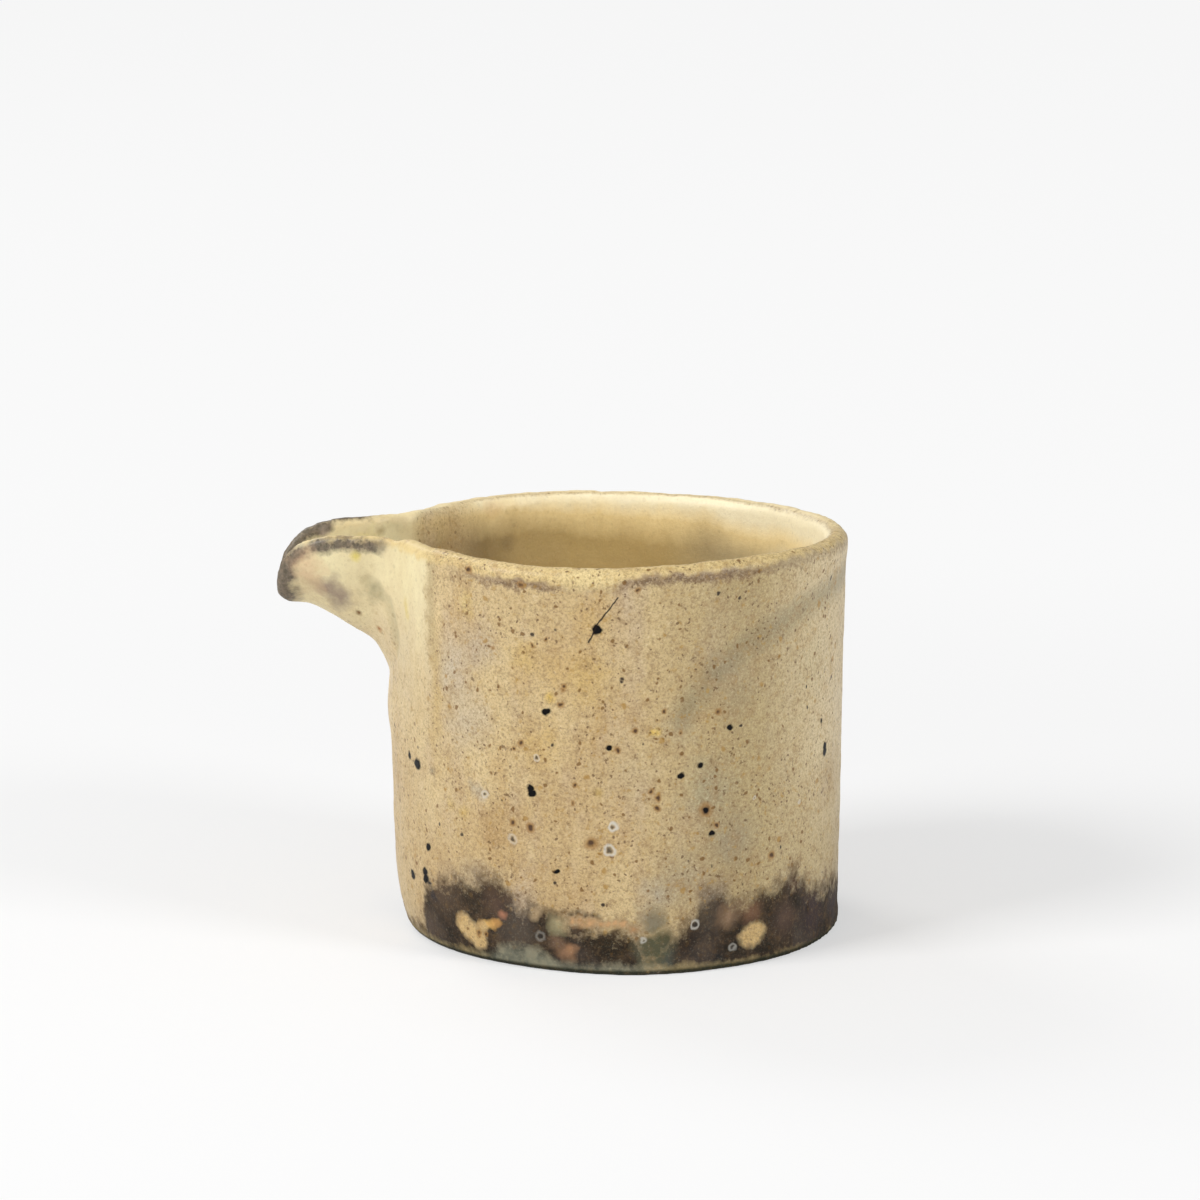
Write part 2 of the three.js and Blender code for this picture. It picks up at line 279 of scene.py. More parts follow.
def buildHandTree(tree):
    given = add(tree, "NodeGroupInput").outputs
    profile = given["Geometry"]
    count = add(tree, "GeometryNodeAttributeDomainSize", profile, component="MESH")
    columns = add(tree, "ShaderNodeMath", given["Turns"], 1, operation="ADD")
    grid = add(tree, "GeometryNodeMeshGrid", 1.0, 1.0, columns, count)
    index = add(tree, "GeometryNodeInputIndex")
    row = add(tree, "ShaderNodeMath", index, count, operation="MODULO")
    share = add(tree, "ShaderNodeMath", index, count, operation="DIVIDE")
    column = add(tree, "ShaderNodeMath", share, operation="FLOOR")
    position = add(tree, "GeometryNodeInputPosition")
    point = add(tree, "GeometryNodeSampleIndex", profile, position, row, data_type="FLOAT_VECTOR")
    point = add(tree, "ShaderNodeSeparateXYZ", point)
    step = add(tree, "ShaderNodeMath", 2 * math.pi, given["Turns"], operation="DIVIDE")
    angle = add(tree, "ShaderNodeMath", column, step, -math.pi, operation="MULTIPLY_ADD")
    cosine = add(tree, "ShaderNodeMath", angle, operation="COSINE")
    sine = add(tree, "ShaderNodeMath", angle, operation="SINE")
    x = add(tree, "ShaderNodeMath", point.outputs["X"], cosine, operation="MULTIPLY")
    y = add(tree, "ShaderNodeMath", point.outputs["X"], sine, operation="MULTIPLY")
    placed = add(tree, "ShaderNodeCombineXYZ", x, y, point.outputs["Z"])
    turned = add(tree, "GeometryNodeSetPosition", grid, None, placed)
    whole = add(tree, "GeometryNodeMergeByDistance", turned, None, 1e-6)

    here = add(tree, "ShaderNodeSeparateXYZ", position)
    height = here.outputs["Z"]
    angle = add(tree, "ShaderNodeMath", here.outputs["Y"], here.outputs["X"], operation="ARCTAN2")
    level = add(tree, "ShaderNodeVectorMath", position, (1, 1, 0), operation="MULTIPLY")
    radius = add(tree, "ShaderNodeVectorMath", level, operation="LENGTH").outputs["Value"]

    # What is pushed outwards: the wall's waves, less the crease and the press behind the spout, and the
    # swelling under it, the step at its root and the foot's corner and bulge.
    waves = 0.0
    for size, around, phase, upwards in wallWaves:
        swing = add(tree, "ShaderNodeMath", angle, around, phase, operation="MULTIPLY_ADD")
        swing = add(tree, "ShaderNodeMath", height, upwards / mm, swing, operation="MULTIPLY_ADD")
        wave = add(tree, "ShaderNodeMath", swing, operation="SINE")
        waves = add(tree, "ShaderNodeMath", wave, size, waves, operation="MULTIPLY_ADD")
    push = add(tree, "ShaderNodeMath", waves, given["Wall Wave"], operation="MULTIPLY")

    crease = add(tree, "GeometryNodeObjectInfo", given["Crease"]).outputs["Geometry"]
    away = add(tree, "GeometryNodeProximity", crease, target_element="EDGES").outputs["Distance"]
    away = add(tree, "ShaderNodeMath", away, given["Crease Width"], operation="DIVIDE")
    nearest = add(tree, "GeometryNodeSampleNearest", crease, domain="POINT")
    fade = add(tree, "GeometryNodeInputNamedAttribute", "depth", data_type="FLOAT")
    fade = add(tree, "GeometryNodeSampleIndex", crease, fade, nearest, data_type="FLOAT")
    dip = product(tree, bell(tree, away), fade, given["Crease Depth"])
    push = add(tree, "ShaderNodeMath", push, dip, operation="SUBTRACT")

    across = add(tree, "ShaderNodeMath", angle, operation="ABSOLUTE")
    across = add(tree, "ShaderNodeMath", math.pi, across, operation="SUBTRACT")
    side = add(tree, "ShaderNodeMath", across, given["Barrel Radius"], operation="MULTIPLY")
    above = add(tree, "ShaderNodeMapRange", height, given["Press Foot"], given["Press Top"],
                interpolation_type="SMOOTHSTEP")
    press = add(tree, "ShaderNodeMath", side, given["Spout Press Width"], operation="DIVIDE")
    press = product(tree, bell(tree, press), above, given["Spout Press"])
    push = add(tree, "ShaderNodeMath", push, press, operation="SUBTRACT")

    sideways = add(tree, "ShaderNodeMath", side, given["Collar Swell Width"], operation="DIVIDE")
    sideways = add(tree, "ShaderNodeMath", sideways, sideways, operation="MULTIPLY")
    up = add(tree, "ShaderNodeMath", height, given["Collar Swell Height"], operation="SUBTRACT")
    up = add(tree, "ShaderNodeMath", up, given["Collar Swell Rise"], operation="DIVIDE")
    swell = bell(tree, up, sideways)
    push = add(tree, "ShaderNodeMath", swell, given["Collar Swell"], push, operation="MULTIPLY_ADD")

    step = add(tree, "ShaderNodeMapRange", side, given["Root Step End"], given["Root Step Top"],
               interpolation_type="SMOOTHSTEP")
    rise = add(tree, "ShaderNodeMapRange", side, given["Root Step Start"], given["Root Step Top"],
               interpolation_type="SMOOTHSTEP")
    step = product(tree, step, rise, above)
    push = add(tree, "ShaderNodeMath", step, given["Root Step"], push, operation="MULTIPLY_ADD")

    raised = add(tree, "ShaderNodeMath", height, 0.0, operation="MAXIMUM")
    low = add(tree, "ShaderNodeMath", raised, given["Foot Push Rise"], operation="DIVIDE")
    for name, middle in footAngles.items():
        bulge = add(tree, "ShaderNodeMath", angle, math.radians(middle), operation="SUBTRACT")
        bulge = add(tree, "ShaderNodeMath", bulge, given["Barrel Radius"], operation="MULTIPLY")
        bulge = add(tree, "ShaderNodeMath", bulge, given[name + " Width"], operation="DIVIDE")
        bulge = bell(tree, bulge, low)
        push = add(tree, "ShaderNodeMath", bulge, given[name], push, operation="MULTIPLY_ADD")

    weight = add(tree, "ShaderNodeMath", radius, given["Barrel Radius"], operation="DIVIDE", use_clamp=True)
    radius = add(tree, "ShaderNodeMath", push, weight, radius, operation="MULTIPLY_ADD")
    leaning = add(tree, "ShaderNodeMath", raised, given["Lean Height"], operation="DIVIDE")
    leaning = add(tree, "ShaderNodeMath", leaning, -1, operation="MULTIPLY")
    leaning = add(tree, "ShaderNodeMath", leaning, operation="EXPONENT")
    leaning = add(tree, "ShaderNodeMath", 1.0, leaning, operation="SUBTRACT")
    leaning = add(tree, "ShaderNodeMath", leaning, given["Lean"], operation="MULTIPLY")
    cosine = add(tree, "ShaderNodeMath", angle, operation="COSINE")
    sine = add(tree, "ShaderNodeMath", angle, operation="SINE")
    x = add(tree, "ShaderNodeMath", radius, cosine, operation="MULTIPLY")
    x = add(tree, "ShaderNodeMath", x, leaning, operation="SUBTRACT")
    y = add(tree, "ShaderNodeMath", radius, sine, operation="MULTIPLY")

    lift = 0.0
    for size, around, phase in rimWaves:
        swing = add(tree, "ShaderNodeMath", angle, around, phase, operation="MULTIPLY_ADD")
        wave = add(tree, "ShaderNodeMath", swing, operation="SINE")
        lift = add(tree, "ShaderNodeMath", wave, size, lift, operation="MULTIPLY_ADD")
    start = add(tree, "ShaderNodeMath", given["Rim Height"], given["Rim Depth"], operation="SUBTRACT")
    near = add(tree, "ShaderNodeMapRange", height, start, given["Rim Height"],
               interpolation_type="SMOOTHSTEP")
    lift = add(tree, "ShaderNodeMath", lift, near, operation="MULTIPLY")
    z = add(tree, "ShaderNodeMath", lift, given["Rim Wave"], height, operation="MULTIPLY_ADD")
    moved = add(tree, "ShaderNodeCombineXYZ", x, y, z)
    formed = add(tree, "GeometryNodeSetPosition", whole, None, moved)
    formed = add(tree, "GeometryNodeRealizeInstances", formed)
    formed = add(tree, "GeometryNodeSetMaterial", formed, None, given["Material"])
    add(tree, "NodeGroupOutput", formed)


buildHandTree(handTree)


def turnedByHand(name, profile):
    made = meshObject(name, [(r, 0, z) for r, z in profile], [(i, i + 1) for i in range(len(profile) - 1)])
    return runTree(made, handTree, {
        "Turns": pot["turns"], "Barrel Radius": pot["barrelRadius"] * mm,
        "Rim Height": pot["rimHeight"] * mm, **inMetres(hand), "Crease": creaseGuide,
    })


def arc(centre, size, start, end, count):
    turns = [math.radians(start + (end - start) * i / count) for i in range(count + 1)]
    return [(centre[0] + size[0] * math.cos(t), centre[1] + size[1] * math.sin(t)) for t in turns]


def potProfile():
    shoulder = pot["rimHeight"] - pot["rimCrown"]
    half = pot["rim"] / 2
    edge = pot["footEdge"]
    foot = outsideRadius(edge) - edge
    steps = profileSteps
    out = [(foot * i / steps["underside"], 0) for i in range(steps["underside"])]
    out += arc((foot, edge), (edge, edge), -90, 0, steps["footEdge"])
    out += [(outsideRadius(z), z) for z in np.linspace(edge, shoulder, steps["outside"])[1:]]
    out += arc((outsideRadius(shoulder) - half, shoulder), (half, pot["rimCrown"]), 0, 180, steps["rim"])[1:]
    wipe = pot["cornerWipe"]
    centre = (insideRadius(pot["slab"]) - wipe, pot["slab"] + wipe)
    thin = pot["wall"] - pot["rim"]
    out += [(insideRadius(z) + thin * smoothStep(shoulder - hand["rimDepth"], shoulder, z), z)
            for z in np.linspace(shoulder, centre[1], steps["inside"])[1:]]
    out += arc(centre, (wipe, wipe), 0, -90, steps["corner"])[1:]
    return out + [(centre[0] * i / steps["floor"], pot["slab"]) for i in reversed(range(steps["floor"]))]


# The spout: U sections from inside the wall to the tip, as keel x and z, lip x and z, half width, floor.
spoutSections = [
    (-31.4, 32.8, -28.4, 58.8, 17.6, 5.6),
    (-34.5, 37.7, -32.0, 59.2, 12.4, 4.6),
    (-36.7, 41.7, -35.4, 59.3, 9.3, 3.5),
    (-40.0, 44.0, -39.6, 59.1, 8.1, 3.0),
    (-43.3, 46.1, -43.8, 58.8, 7.2, 2.7),
    (-46.2, 47.5, -47.6, 57.5, 6.2, 2.4),
    (-48.2, 47.7, -50.2, 54.6, 5.0, 2.1),
    (-49.0, 47.7, -51.0, 51.6, 3.8, 1.9),
    (-49.2, 47.6, -51.0, 49.5, 2.6, 1.6),
]
spout = {
    "lip": 1.9,
    "lipRound": 0.7,
    "fullness": 1.3,
    "steps": 64,
    "around": 20,
    "channelOver": 4,
    # How the channel opens into the pot: the share of the spout where it starts, then mm in, times wider.
    "mouthStart": 0.15,
    "mouth": [(0.8, 1.02), (1.6, 1.06), (2.4, 1.14), (3.2, 1.26), (4.0, 1.38), (6.0, 1.42), (9.5, 1.42)],
}


def spoutFrame(share):
    keelX, keelZ, lipX, lipZ, halfWidth, floor = through(spoutSections, share)
    keel = np.array((keelX, 0, keelZ))
    up = np.array((lipX, 0, lipZ)) - keel
    return {"keel": keel, "up": up / np.linalg.norm(up), "depth": np.linalg.norm(up),
            "halfWidth": halfWidth, "floor": floor}


def uSection(halfWidth, low, high):
    turns = np.linspace(-math.pi / 2, math.pi / 2, 2 * spout["around"] + 1)
    return [(halfWidth * np.sign(t) * abs(math.sin(t)) ** spout["fullness"],
             low + (high - low) * (1 - math.cos(t))) for t in turns]


def outsideSection(f, grow=0.0, over=0.0):
    wide = f["halfWidth"] + grow
    top = f["depth"]
    if over:
        return [(-wide, top + over)] + uSection(wide, -grow, top) + [(wide, top + over)]
    rounding = min(spout["lipRound"], wide / 3)
    bevel = rounding * 0.3
    return ([(-(wide - rounding), top), (-(wide - bevel), top - bevel)]
            + uSection(wide, -grow, top - rounding)
            + [(wide - bevel, top - bevel), (wide - rounding, top)])


def channelSection(f):
    lip = min(spout["lip"], f["halfWidth"] * 0.6)
    rounding = min(spout["lipRound"], lip / 3)
    narrow = f["halfWidth"] - lip
    wide = narrow + rounding
    top = f["depth"]
    above = top + spout["channelOver"]
    return ([(-wide, above), (-wide, top)] + uSection(narrow, f["floor"], top - rounding)
            + [(wide, top), (wide, above)])


def ring(share, section):
    f = spoutFrame(share)
    return [f["keel"] + f["up"] * up + np.array((0, across, 0)) for across, up in section(f)]


def loft(name, rings):
    size = len(rings[0])
    points = [p for r in rings for p in r]
    faces = []
    for i in range(len(rings) - 1):
        for j in range(size):
            a, b = i * size + j, i * size + (j + 1) % size
            faces.append((a, a + size, b + size, b))
    for start, turned in ((0, False), ((len(rings) - 1) * size, True)):
        middle = len(points)
        points.append(sum(points[start:start + size]) / size)
        for j in range(size):
            a, b = start + j, start + (j + 1) % size
            faces.append((middle, b, a) if turned else (middle, a, b))
    return meshObject(name, points, faces=faces)


def spoutSolid(name, section):
    return loft(name, [ring(i / spout["steps"], section) for i in range(spout["steps"] + 1)])


def channelSolid():
    first = spout["mouthStart"]
    shares = [first + (1 - first) * i / spout["steps"] for i in range(spout["steps"] + 1)]
    rings = [ring(share, channelSection) for share in shares]
    mouth = [[np.array((p[0] + run, p[1] * wider, p[2])) for p in rings[0]]
             for run, wider in reversed(spout["mouth"])]
    past = [p + np.array((-1.5, 0, -0.6)) for p in rings[-1]]  # so that it runs out clear of the tip
    return loft("channel", mouth + rings + [past])


print("building the pot")
skin = turnedByHand("jug skin", potProfile())
beak = spoutSolid("beak", outsideSection)
channel = channelSolid()
cut(skin, beak, "UNION")
cut(skin, channel, "DIFFERENCE")
remesh = skin.modifiers.new("clay", "REMESH")
remesh.mode = "VOXEL"
remesh.voxel_size = pot["voxel"] * mm
settle(skin)
print("fused skin", len(skin.data.vertices), "points")

# Where the spout meets the wall: the fold outside it, between two heights, and the notch through it.
joint = {
    "behind": -24,  # x
    "halfWidth": 19,
    "foldBottom": 33,
    "foldTop": 58,
    "foldFade": 3,
    "foldOut": 0.4,
    "foldWidth": 2.2,
    "foldLeast": -1.2,
    "notchBottom": 38,
    "notchOut": 0.5,
    "notchShare": 0.8,
    "factor": 0.5,
    "passes": 14,
    "passesElsewhere": 4,
}


# Softens that joint, and the voxel steps everywhere else.
def soften(piece):
    points = np.zeros(len(piece.data.vertices) * 3)
    piece.data.vertices.foreach_get("co", points)
    x, y, z = (points.reshape(-1, 3) / mm).T
    lean = np.array([leanAt(h) for h in z])
    out = np.hypot(x - lean, y) - np.array([outsideRadius(h) for h in z])
    atSpout = (x < joint["behind"]) & (abs(y) < joint["halfWidth"])
    nearWall = np.exp(-((out - joint["foldOut"]) / joint["foldWidth"]) ** 2)
    nearWall = nearWall * np.clip((joint["foldTop"] - z) / joint["foldFade"], 0, 1)
    fold = np.where(atSpout & (z > joint["foldBottom"]) & (out > joint["foldLeast"]), nearWall, 0)
    notch = np.where(atSpout & (z > joint["notchBottom"]) & (out <= joint["notchOut"]),
                     joint["notchShare"], 0)
    for name, weights in (("fold", fold), ("notch", notch)):
        group = piece.vertex_groups.new(name=name)
        for i in np.nonzero(weights > 0.02)[0]:
            group.add([int(i)], float(weights[i]), "REPLACE")
        smooth = piece.modifiers.new(name, "SMOOTH")
        smooth.vertex_group = name
        smooth.factor = joint["factor"]
        smooth.iterations = joint["passes"]
    smooth = piece.modifiers.new("all", "SMOOTH")
    smooth.factor = joint["factor"]
    smooth.iterations = joint["passesElsewhere"]
    settle(piece)
    piece.vertex_groups.clear()


soften(skin)
print("skin softened")

# The lips' dark lines, just below the near crest and along the far one. Each has its side, how far it
# lies in from the lip's outside and down from its top, and the share of the spout where it starts.
lipLines = [(-1, 0.3, 1.35, 0.24), (1, 0.5, 0.0, 0.24), (1, 1.8, 0.8, 0.5)]
lipSteps = 60
lipPoints, lipEdges = [], []
for side, inwards, down, root in lipLines:
    for i in range(lipSteps + 1):
        f = spoutFrame(root + (1 - root) * i / lipSteps)
        lip = f["keel"] + f["up"] * (f["depth"] - down)
        if i:
            lipEdges.append((len(lipPoints) - 1, len(lipPoints)))
        lipPoints.append((lip[0], side * (f["halfWidth"] - inwards), lip[2]))
lipGuide = meshObject("lip guide", lipPoints, lipEdges)

foldSide = [
    (-37.4, 8.3, 52.2), (-36.4, 8.8, 51.2), (-35.1, 9.3, 49.7), (-34.4, 9.6, 47.5), (-34.0, 9.4, 45.1),
    (-34.1, 8.6, 42.6),
]
foldGuide = meshObject("fold guide", [(x, side * y, z) for side in (-1, 1) for x, y, z in foldSide],
                       [(i, i + 1) for i in range(2 * len(foldSide) - 1) if i + 1 != len(foldSide)])

# Geometry Nodes: the glaze's own relief. Each size is an input of the tree.
glazeRelief = {
    "swell": 0.11,
    "swellSize": 6.5,
    "grain": 0.035,
    "grainSize": 1.5,
    "footCrawl": 0.16,
    "footTop": 9,
    "footWhole": 3,  # the height below which the foot's crawling is whole
    "rimLumps": 0.1,
    "rimStart": 56.0,
    "rimWhole": 57.6,
    "groundStart": 0.3,  # nothing is raised where the pot stands
    "groundWhole": 1.6,
    "foldDepth": 0.4,
    "foldEdge": 1.8,
    "foldWhole": 0.3,
}
glazeTree = newTree("Glaze skin", {
    **{spaced(name): "Float" for name in glazeRelief}, "Fold": "Object", "Material": "Material",
})


def buildGlazeTree(tree):
    given = add(tree, "NodeGroupInput").outputs
    position = add(tree, "GeometryNodeInputPosition")
    height = add(tree, "ShaderNodeSeparateXYZ", position).outputs["Z"]
    crawl = product(tree, (height, given["Foot Top"], given["Foot Whole"]), given["Foot Crawl"])
    rim = product(tree, (height, given["Rim Start"], given["Rim Whole"]), given["Rim Lumps"])
    relief = 0.0
    for size, times, high, detail in (
        ("Swell Size", 1.0, given["Swell"], 2.0), ("Grain Size", 1.0, given["Grain"], 2.0),
        ("Grain Size", 1.7, crawl, 3.0), ("Grain Size", 1.3, rim, 1.0),
    ):
        size = add(tree, "ShaderNodeMath", given[size], times, operation="MULTIPLY")
        scale = add(tree, "ShaderNodeMath", 1.0, size, operation="DIVIDE")
        lump = add(tree, "ShaderNodeTexNoise", position, scale, detail, 0.5)
        lump = add(tree, "ShaderNodeMapRange", lump, 0.2, 0.8, -1.0, 1.0, clamp=False)
        relief = add(tree, "ShaderNodeMath", lump, high, relief, operation="MULTIPLY_ADD")
    ground = add(tree, "ShaderNodeMapRange", height, given["Ground Start"], given["Ground Whole"],
                 interpolation_type="SMOOTHSTEP")
    relief = add(tree, "ShaderNodeMath", relief, ground, operation="MULTIPLY")
    fold = add(tree, "GeometryNodeObjectInfo", given["Fold"]).outputs["Geometry"]
    fold = add(tree, "GeometryNodeProximity", fold, target_element="EDGES").outputs["Distance"]
    fold = add(tree, "ShaderNodeMapRange", fold, given["Fold Edge"], given["Fold Whole"],
               interpolation_type="SMOOTHSTEP")
    fold = add(tree, "ShaderNodeMath", fold, given["Fold Depth"], operation="MULTIPLY")
    relief = add(tree, "ShaderNodeMath", relief, fold, operation="SUBTRACT")
    normal = add(tree, "GeometryNodeInputNormal")
    offset = add(tree, "ShaderNodeVectorMath", normal, sockets={"Scale": relief}, operation="SCALE")
    made = add(tree, "GeometryNodeSetPosition", given["Geometry"], None, None, offset)
    made = add(tree, "GeometryNodeSetShadeSmooth", made, None, True)
    made = add(tree, "GeometryNodeRealizeInstances", made)
    made = add(tree, "GeometryNodeSetMaterial", made, None, given["Material"])
    add(tree, "NodeGroupOutput", made)


buildGlazeTree(glazeTree)

# Geometry Nodes: stores how far each point is from the lines that the glaze's colours follow.
guides = {"Crease": creaseGuide, "Lip": lipGuide, "Fold": foldGuide}
guideTree = newTree("Distances to guides", {**{name: "Object" for name in guides}, "Material": "Material"})


def buildGuideTree(tree):
    given = add(tree, "NodeGroupInput").outputs
    made = given["Geometry"]
    for name in guides:
        line = add(tree, "GeometryNodeObjectInfo", given[name]).outputs["Geometry"]
        away = add(tree, "GeometryNodeProximity", line, target_element="EDGES").outputs["Distance"]
        made = add(tree, "GeometryNodeStoreNamedAttribute", made, None, name.lower() + "Away", away,
                   data_type="FLOAT", domain="POINT")
    made = add(tree, "GeometryNodeRealizeInstances", made)
    made = add(tree, "GeometryNodeSetMaterial", made, None, given["Material"])
    add(tree, "NodeGroupOutput", made)


buildGuideTree(guideTree)


# Marks of the kiln. Each is an angle round the pot in degrees, a height and a radius in mm.
ironSpots = [
    (-94.8, 50.8, 0.75), (-107.5, 38.5, 0.62), (-150.8, 27.2, 0.95), (-155.1, 27.9, 0.6),
    (-92.0, 33.6, 0.5), (-112.0, 27.2, 0.55), (-111.5, 26.4, 0.6), (-145.9, 15.4, 0.6), (-155.4, 10.0, 0.8),
    (-148.0, 11.4, 0.7), (-147.6, 10.4, 0.75), (-67.5, 23.9, 0.45), (-61.0, 35.6, 0.5), (-69.0, 30.5, 0.5),
    (-74.1, 29.1, 0.48), (-65.8, 20.3, 0.45), (-23.0, 29.0, 0.7), (-23.0, 28.2, 0.7), (-105.3, 15.2, 0.4),
    (-25.7, 33.1, 0.45), (-34.4, 39.3, 0.35), (60.0, 30.0, 0.6), (95.0, 41.0, 0.5), (128.0, 24.0, 0.7),
    (20.0, 21.0, 0.5), (162.0, 17.0, 0.6), (78.0, 14.0, 0.5),
]
rustSpots = [
    (-96.5, 19.6, 0.75), (-67.5, 23.9, 0.85), (-47.3, 15.5, 0.6), (-89.8, 33.2, 0.45), (-64.5, 21.5, 0.4),
    (-112.0, 21.3, 0.6), (-116.9, 21.7, 0.4), (-64.2, 38.1, 0.45), (-78.3, 38.7, 0.4), (-114.4, 33.6, 0.4),
    (-128.4, 57.9, 0.45), (-113.8, 56.8, 0.45), (-104.0, 39.6, 0.45), (-103.5, 41.8, 0.35),
    (-85.0, 56.4, 0.4), (-74.0, 35.4, 0.35), (-81.6, 27.0, 0.4), (-80.0, 24.6, 0.4), (-116.2, 32.6, 0.35),
    (-101.0, 25.4, 0.35), (-107.4, 49.1, 0.35), (-110.9, 48.1, 0.3), (-121.7, 47.0, 0.35),
    (-100.5, 28.1, 0.35), (-85.7, 36.0, 0.35), (-79.8, 26.1, 0.4), (-103.3, 42.4, 0.35), (-128.8, 4.3, 0.4),
    (-126.6, 4.4, 0.3),
]
ringPits = [  # these also with how milky the ring is
    (-124.8, 25.3, 0.9, 0.5), (-91.0, 22.0, 0.95, 0.75), (-92.0, 18.5, 1.1, 0.65),
    (-116.9, 19.3, 0.9, 0.35), (-110.6, 5.2, 1.0, 0.2), (-70.5, 7.0, 0.8, 0.55), (-60.3, 3.1, 0.8, 0.35),
    (-110.3, 31.7, 0.6, 0.45), (-53.2, 24.7, 0.5, 0.5), (-36.4, 22.3, 0.6, 0.5), (-84.0, 5.2, 0.7, 0.5),
]
# Soft stains in the glaze: angle, height, radius, colour, how strong.
glazeStains = [
    (-136, 43, 4.8, "#c2b49b", 0.78), (-130, 36, 4.4, "#c0b197", 0.7), (-126, 47, 3.6, "#bcac93", 0.62),
    (-122, 20, 4.8, "#b08c56", 0.56), (-104, 45, 5.0, "#c9a765", 0.56), (-110, 34, 3.6, "#c8a55f", 0.5),
    (-67, 27, 4.4, "#a39a7a", 0.69), (-60, 19, 4.6, "#9b8f74", 0.69), (-74, 14, 4.2, "#a4977c", 0.62),
    (-80.5, 12, 2.6, "#a99d86", 0.75), (-60, 40, 4.0, "#a08f6c", 0.56), (-88, 30, 4.6, "#c6b38a", 0.5),
    (-81.4, 35.8, 0.5, "#e0bb4a", 0.78), (-79.9, 35.8, 0.6, "#e0bb4a", 0.78),
    (-106.6, 40.6, 0.8, "#d6b14f", 0.75), (-127, 12.6, 3.0, "#8b7864", 0.6),
    (-134.5, 11.8, 2.4, "#8b7864", 0.5), (-64.0, 11.4, 2.6, "#81725f", 0.7),
    (-81.7, 8.6, 2.0, "#93896f", 0.6), (-131.6, 22.1, 1.0, "#d0ae54", 0.5),
    (-136.0, 22.8, 0.9, "#d0ae54", 0.4), (-113.0, 46.0, 2.2, "#cfae60", 0.5),
    (-127.6, 25.7, 1.3, "#a39b8c", 0.6), (-94.8, 27.0, 0.8, "#ab8b34", 0.6),
    (-73.5, 35.4, 2.6, "#a2977c", 0.5), (-96.0, 53.0, 3.6, "#c3a060", 0.5),
    (-97.0, 43.0, 3.0, "#cdac62", 0.45), (-143.4, 27.0, 0.6, "#6f6a5a", 0.8),
    (-128.9, 52.6, 1.6, "#cdb765", 0.4), (-159, 40, 3.0, "#cdb58a", 0.5), (-30, 42, 4.2, "#c3b48c", 0.5),
    (-18, 24, 4.6, "#b29a72", 0.62), (35, 30, 8.0, "#b39a6b", 0.62), (75, 38, 7.0, "#c8b78f", 0.62),
    (110, 22, 7.0, "#ac9064", 0.62), (150, 35, 6.0, "#cdbb92", 0.62),
]
# The same inside: x, y, z, radius, colour, how strong.
insideStains = [
    (-19, 22, 55.2, 1.0, "#6f5b3c", 0.6), (-17, 24, 51.5, 1.5, "#6a5a40", 0.55),
    (21.6, 22, 54.6, 0.8, "#a5894e", 0.5), (-24, 17, 53.5, 2.6, "#a37a58", 0.4),
    (13, 27, 51.5, 3.0, "#8a7450", 0.3), (-19, 23, 57.6, 1.8, "#d79c54", 0.4),
]
creamPatches = [
    (-133.6, 5.4, 1.4), (-131.6, 4.4, 1.6), (-129.4, 3.3, 1.5), (-127.4, 5.3, 0.7), (-55.8, 3.8, 1.2),
    (-53.8, 4.4, 1.6), (-51.4, 5.0, 1.0), (38.0, 5.4, 1.4), (42.0, 4.4, 1.2), (94.0, 4.4, 1.6),
    (98.0, 3.4, 1.4), (149.0, 6.2, 1.1), (152.0, 5.2, 1.5), (155.4, 6.0, 0.7),
]
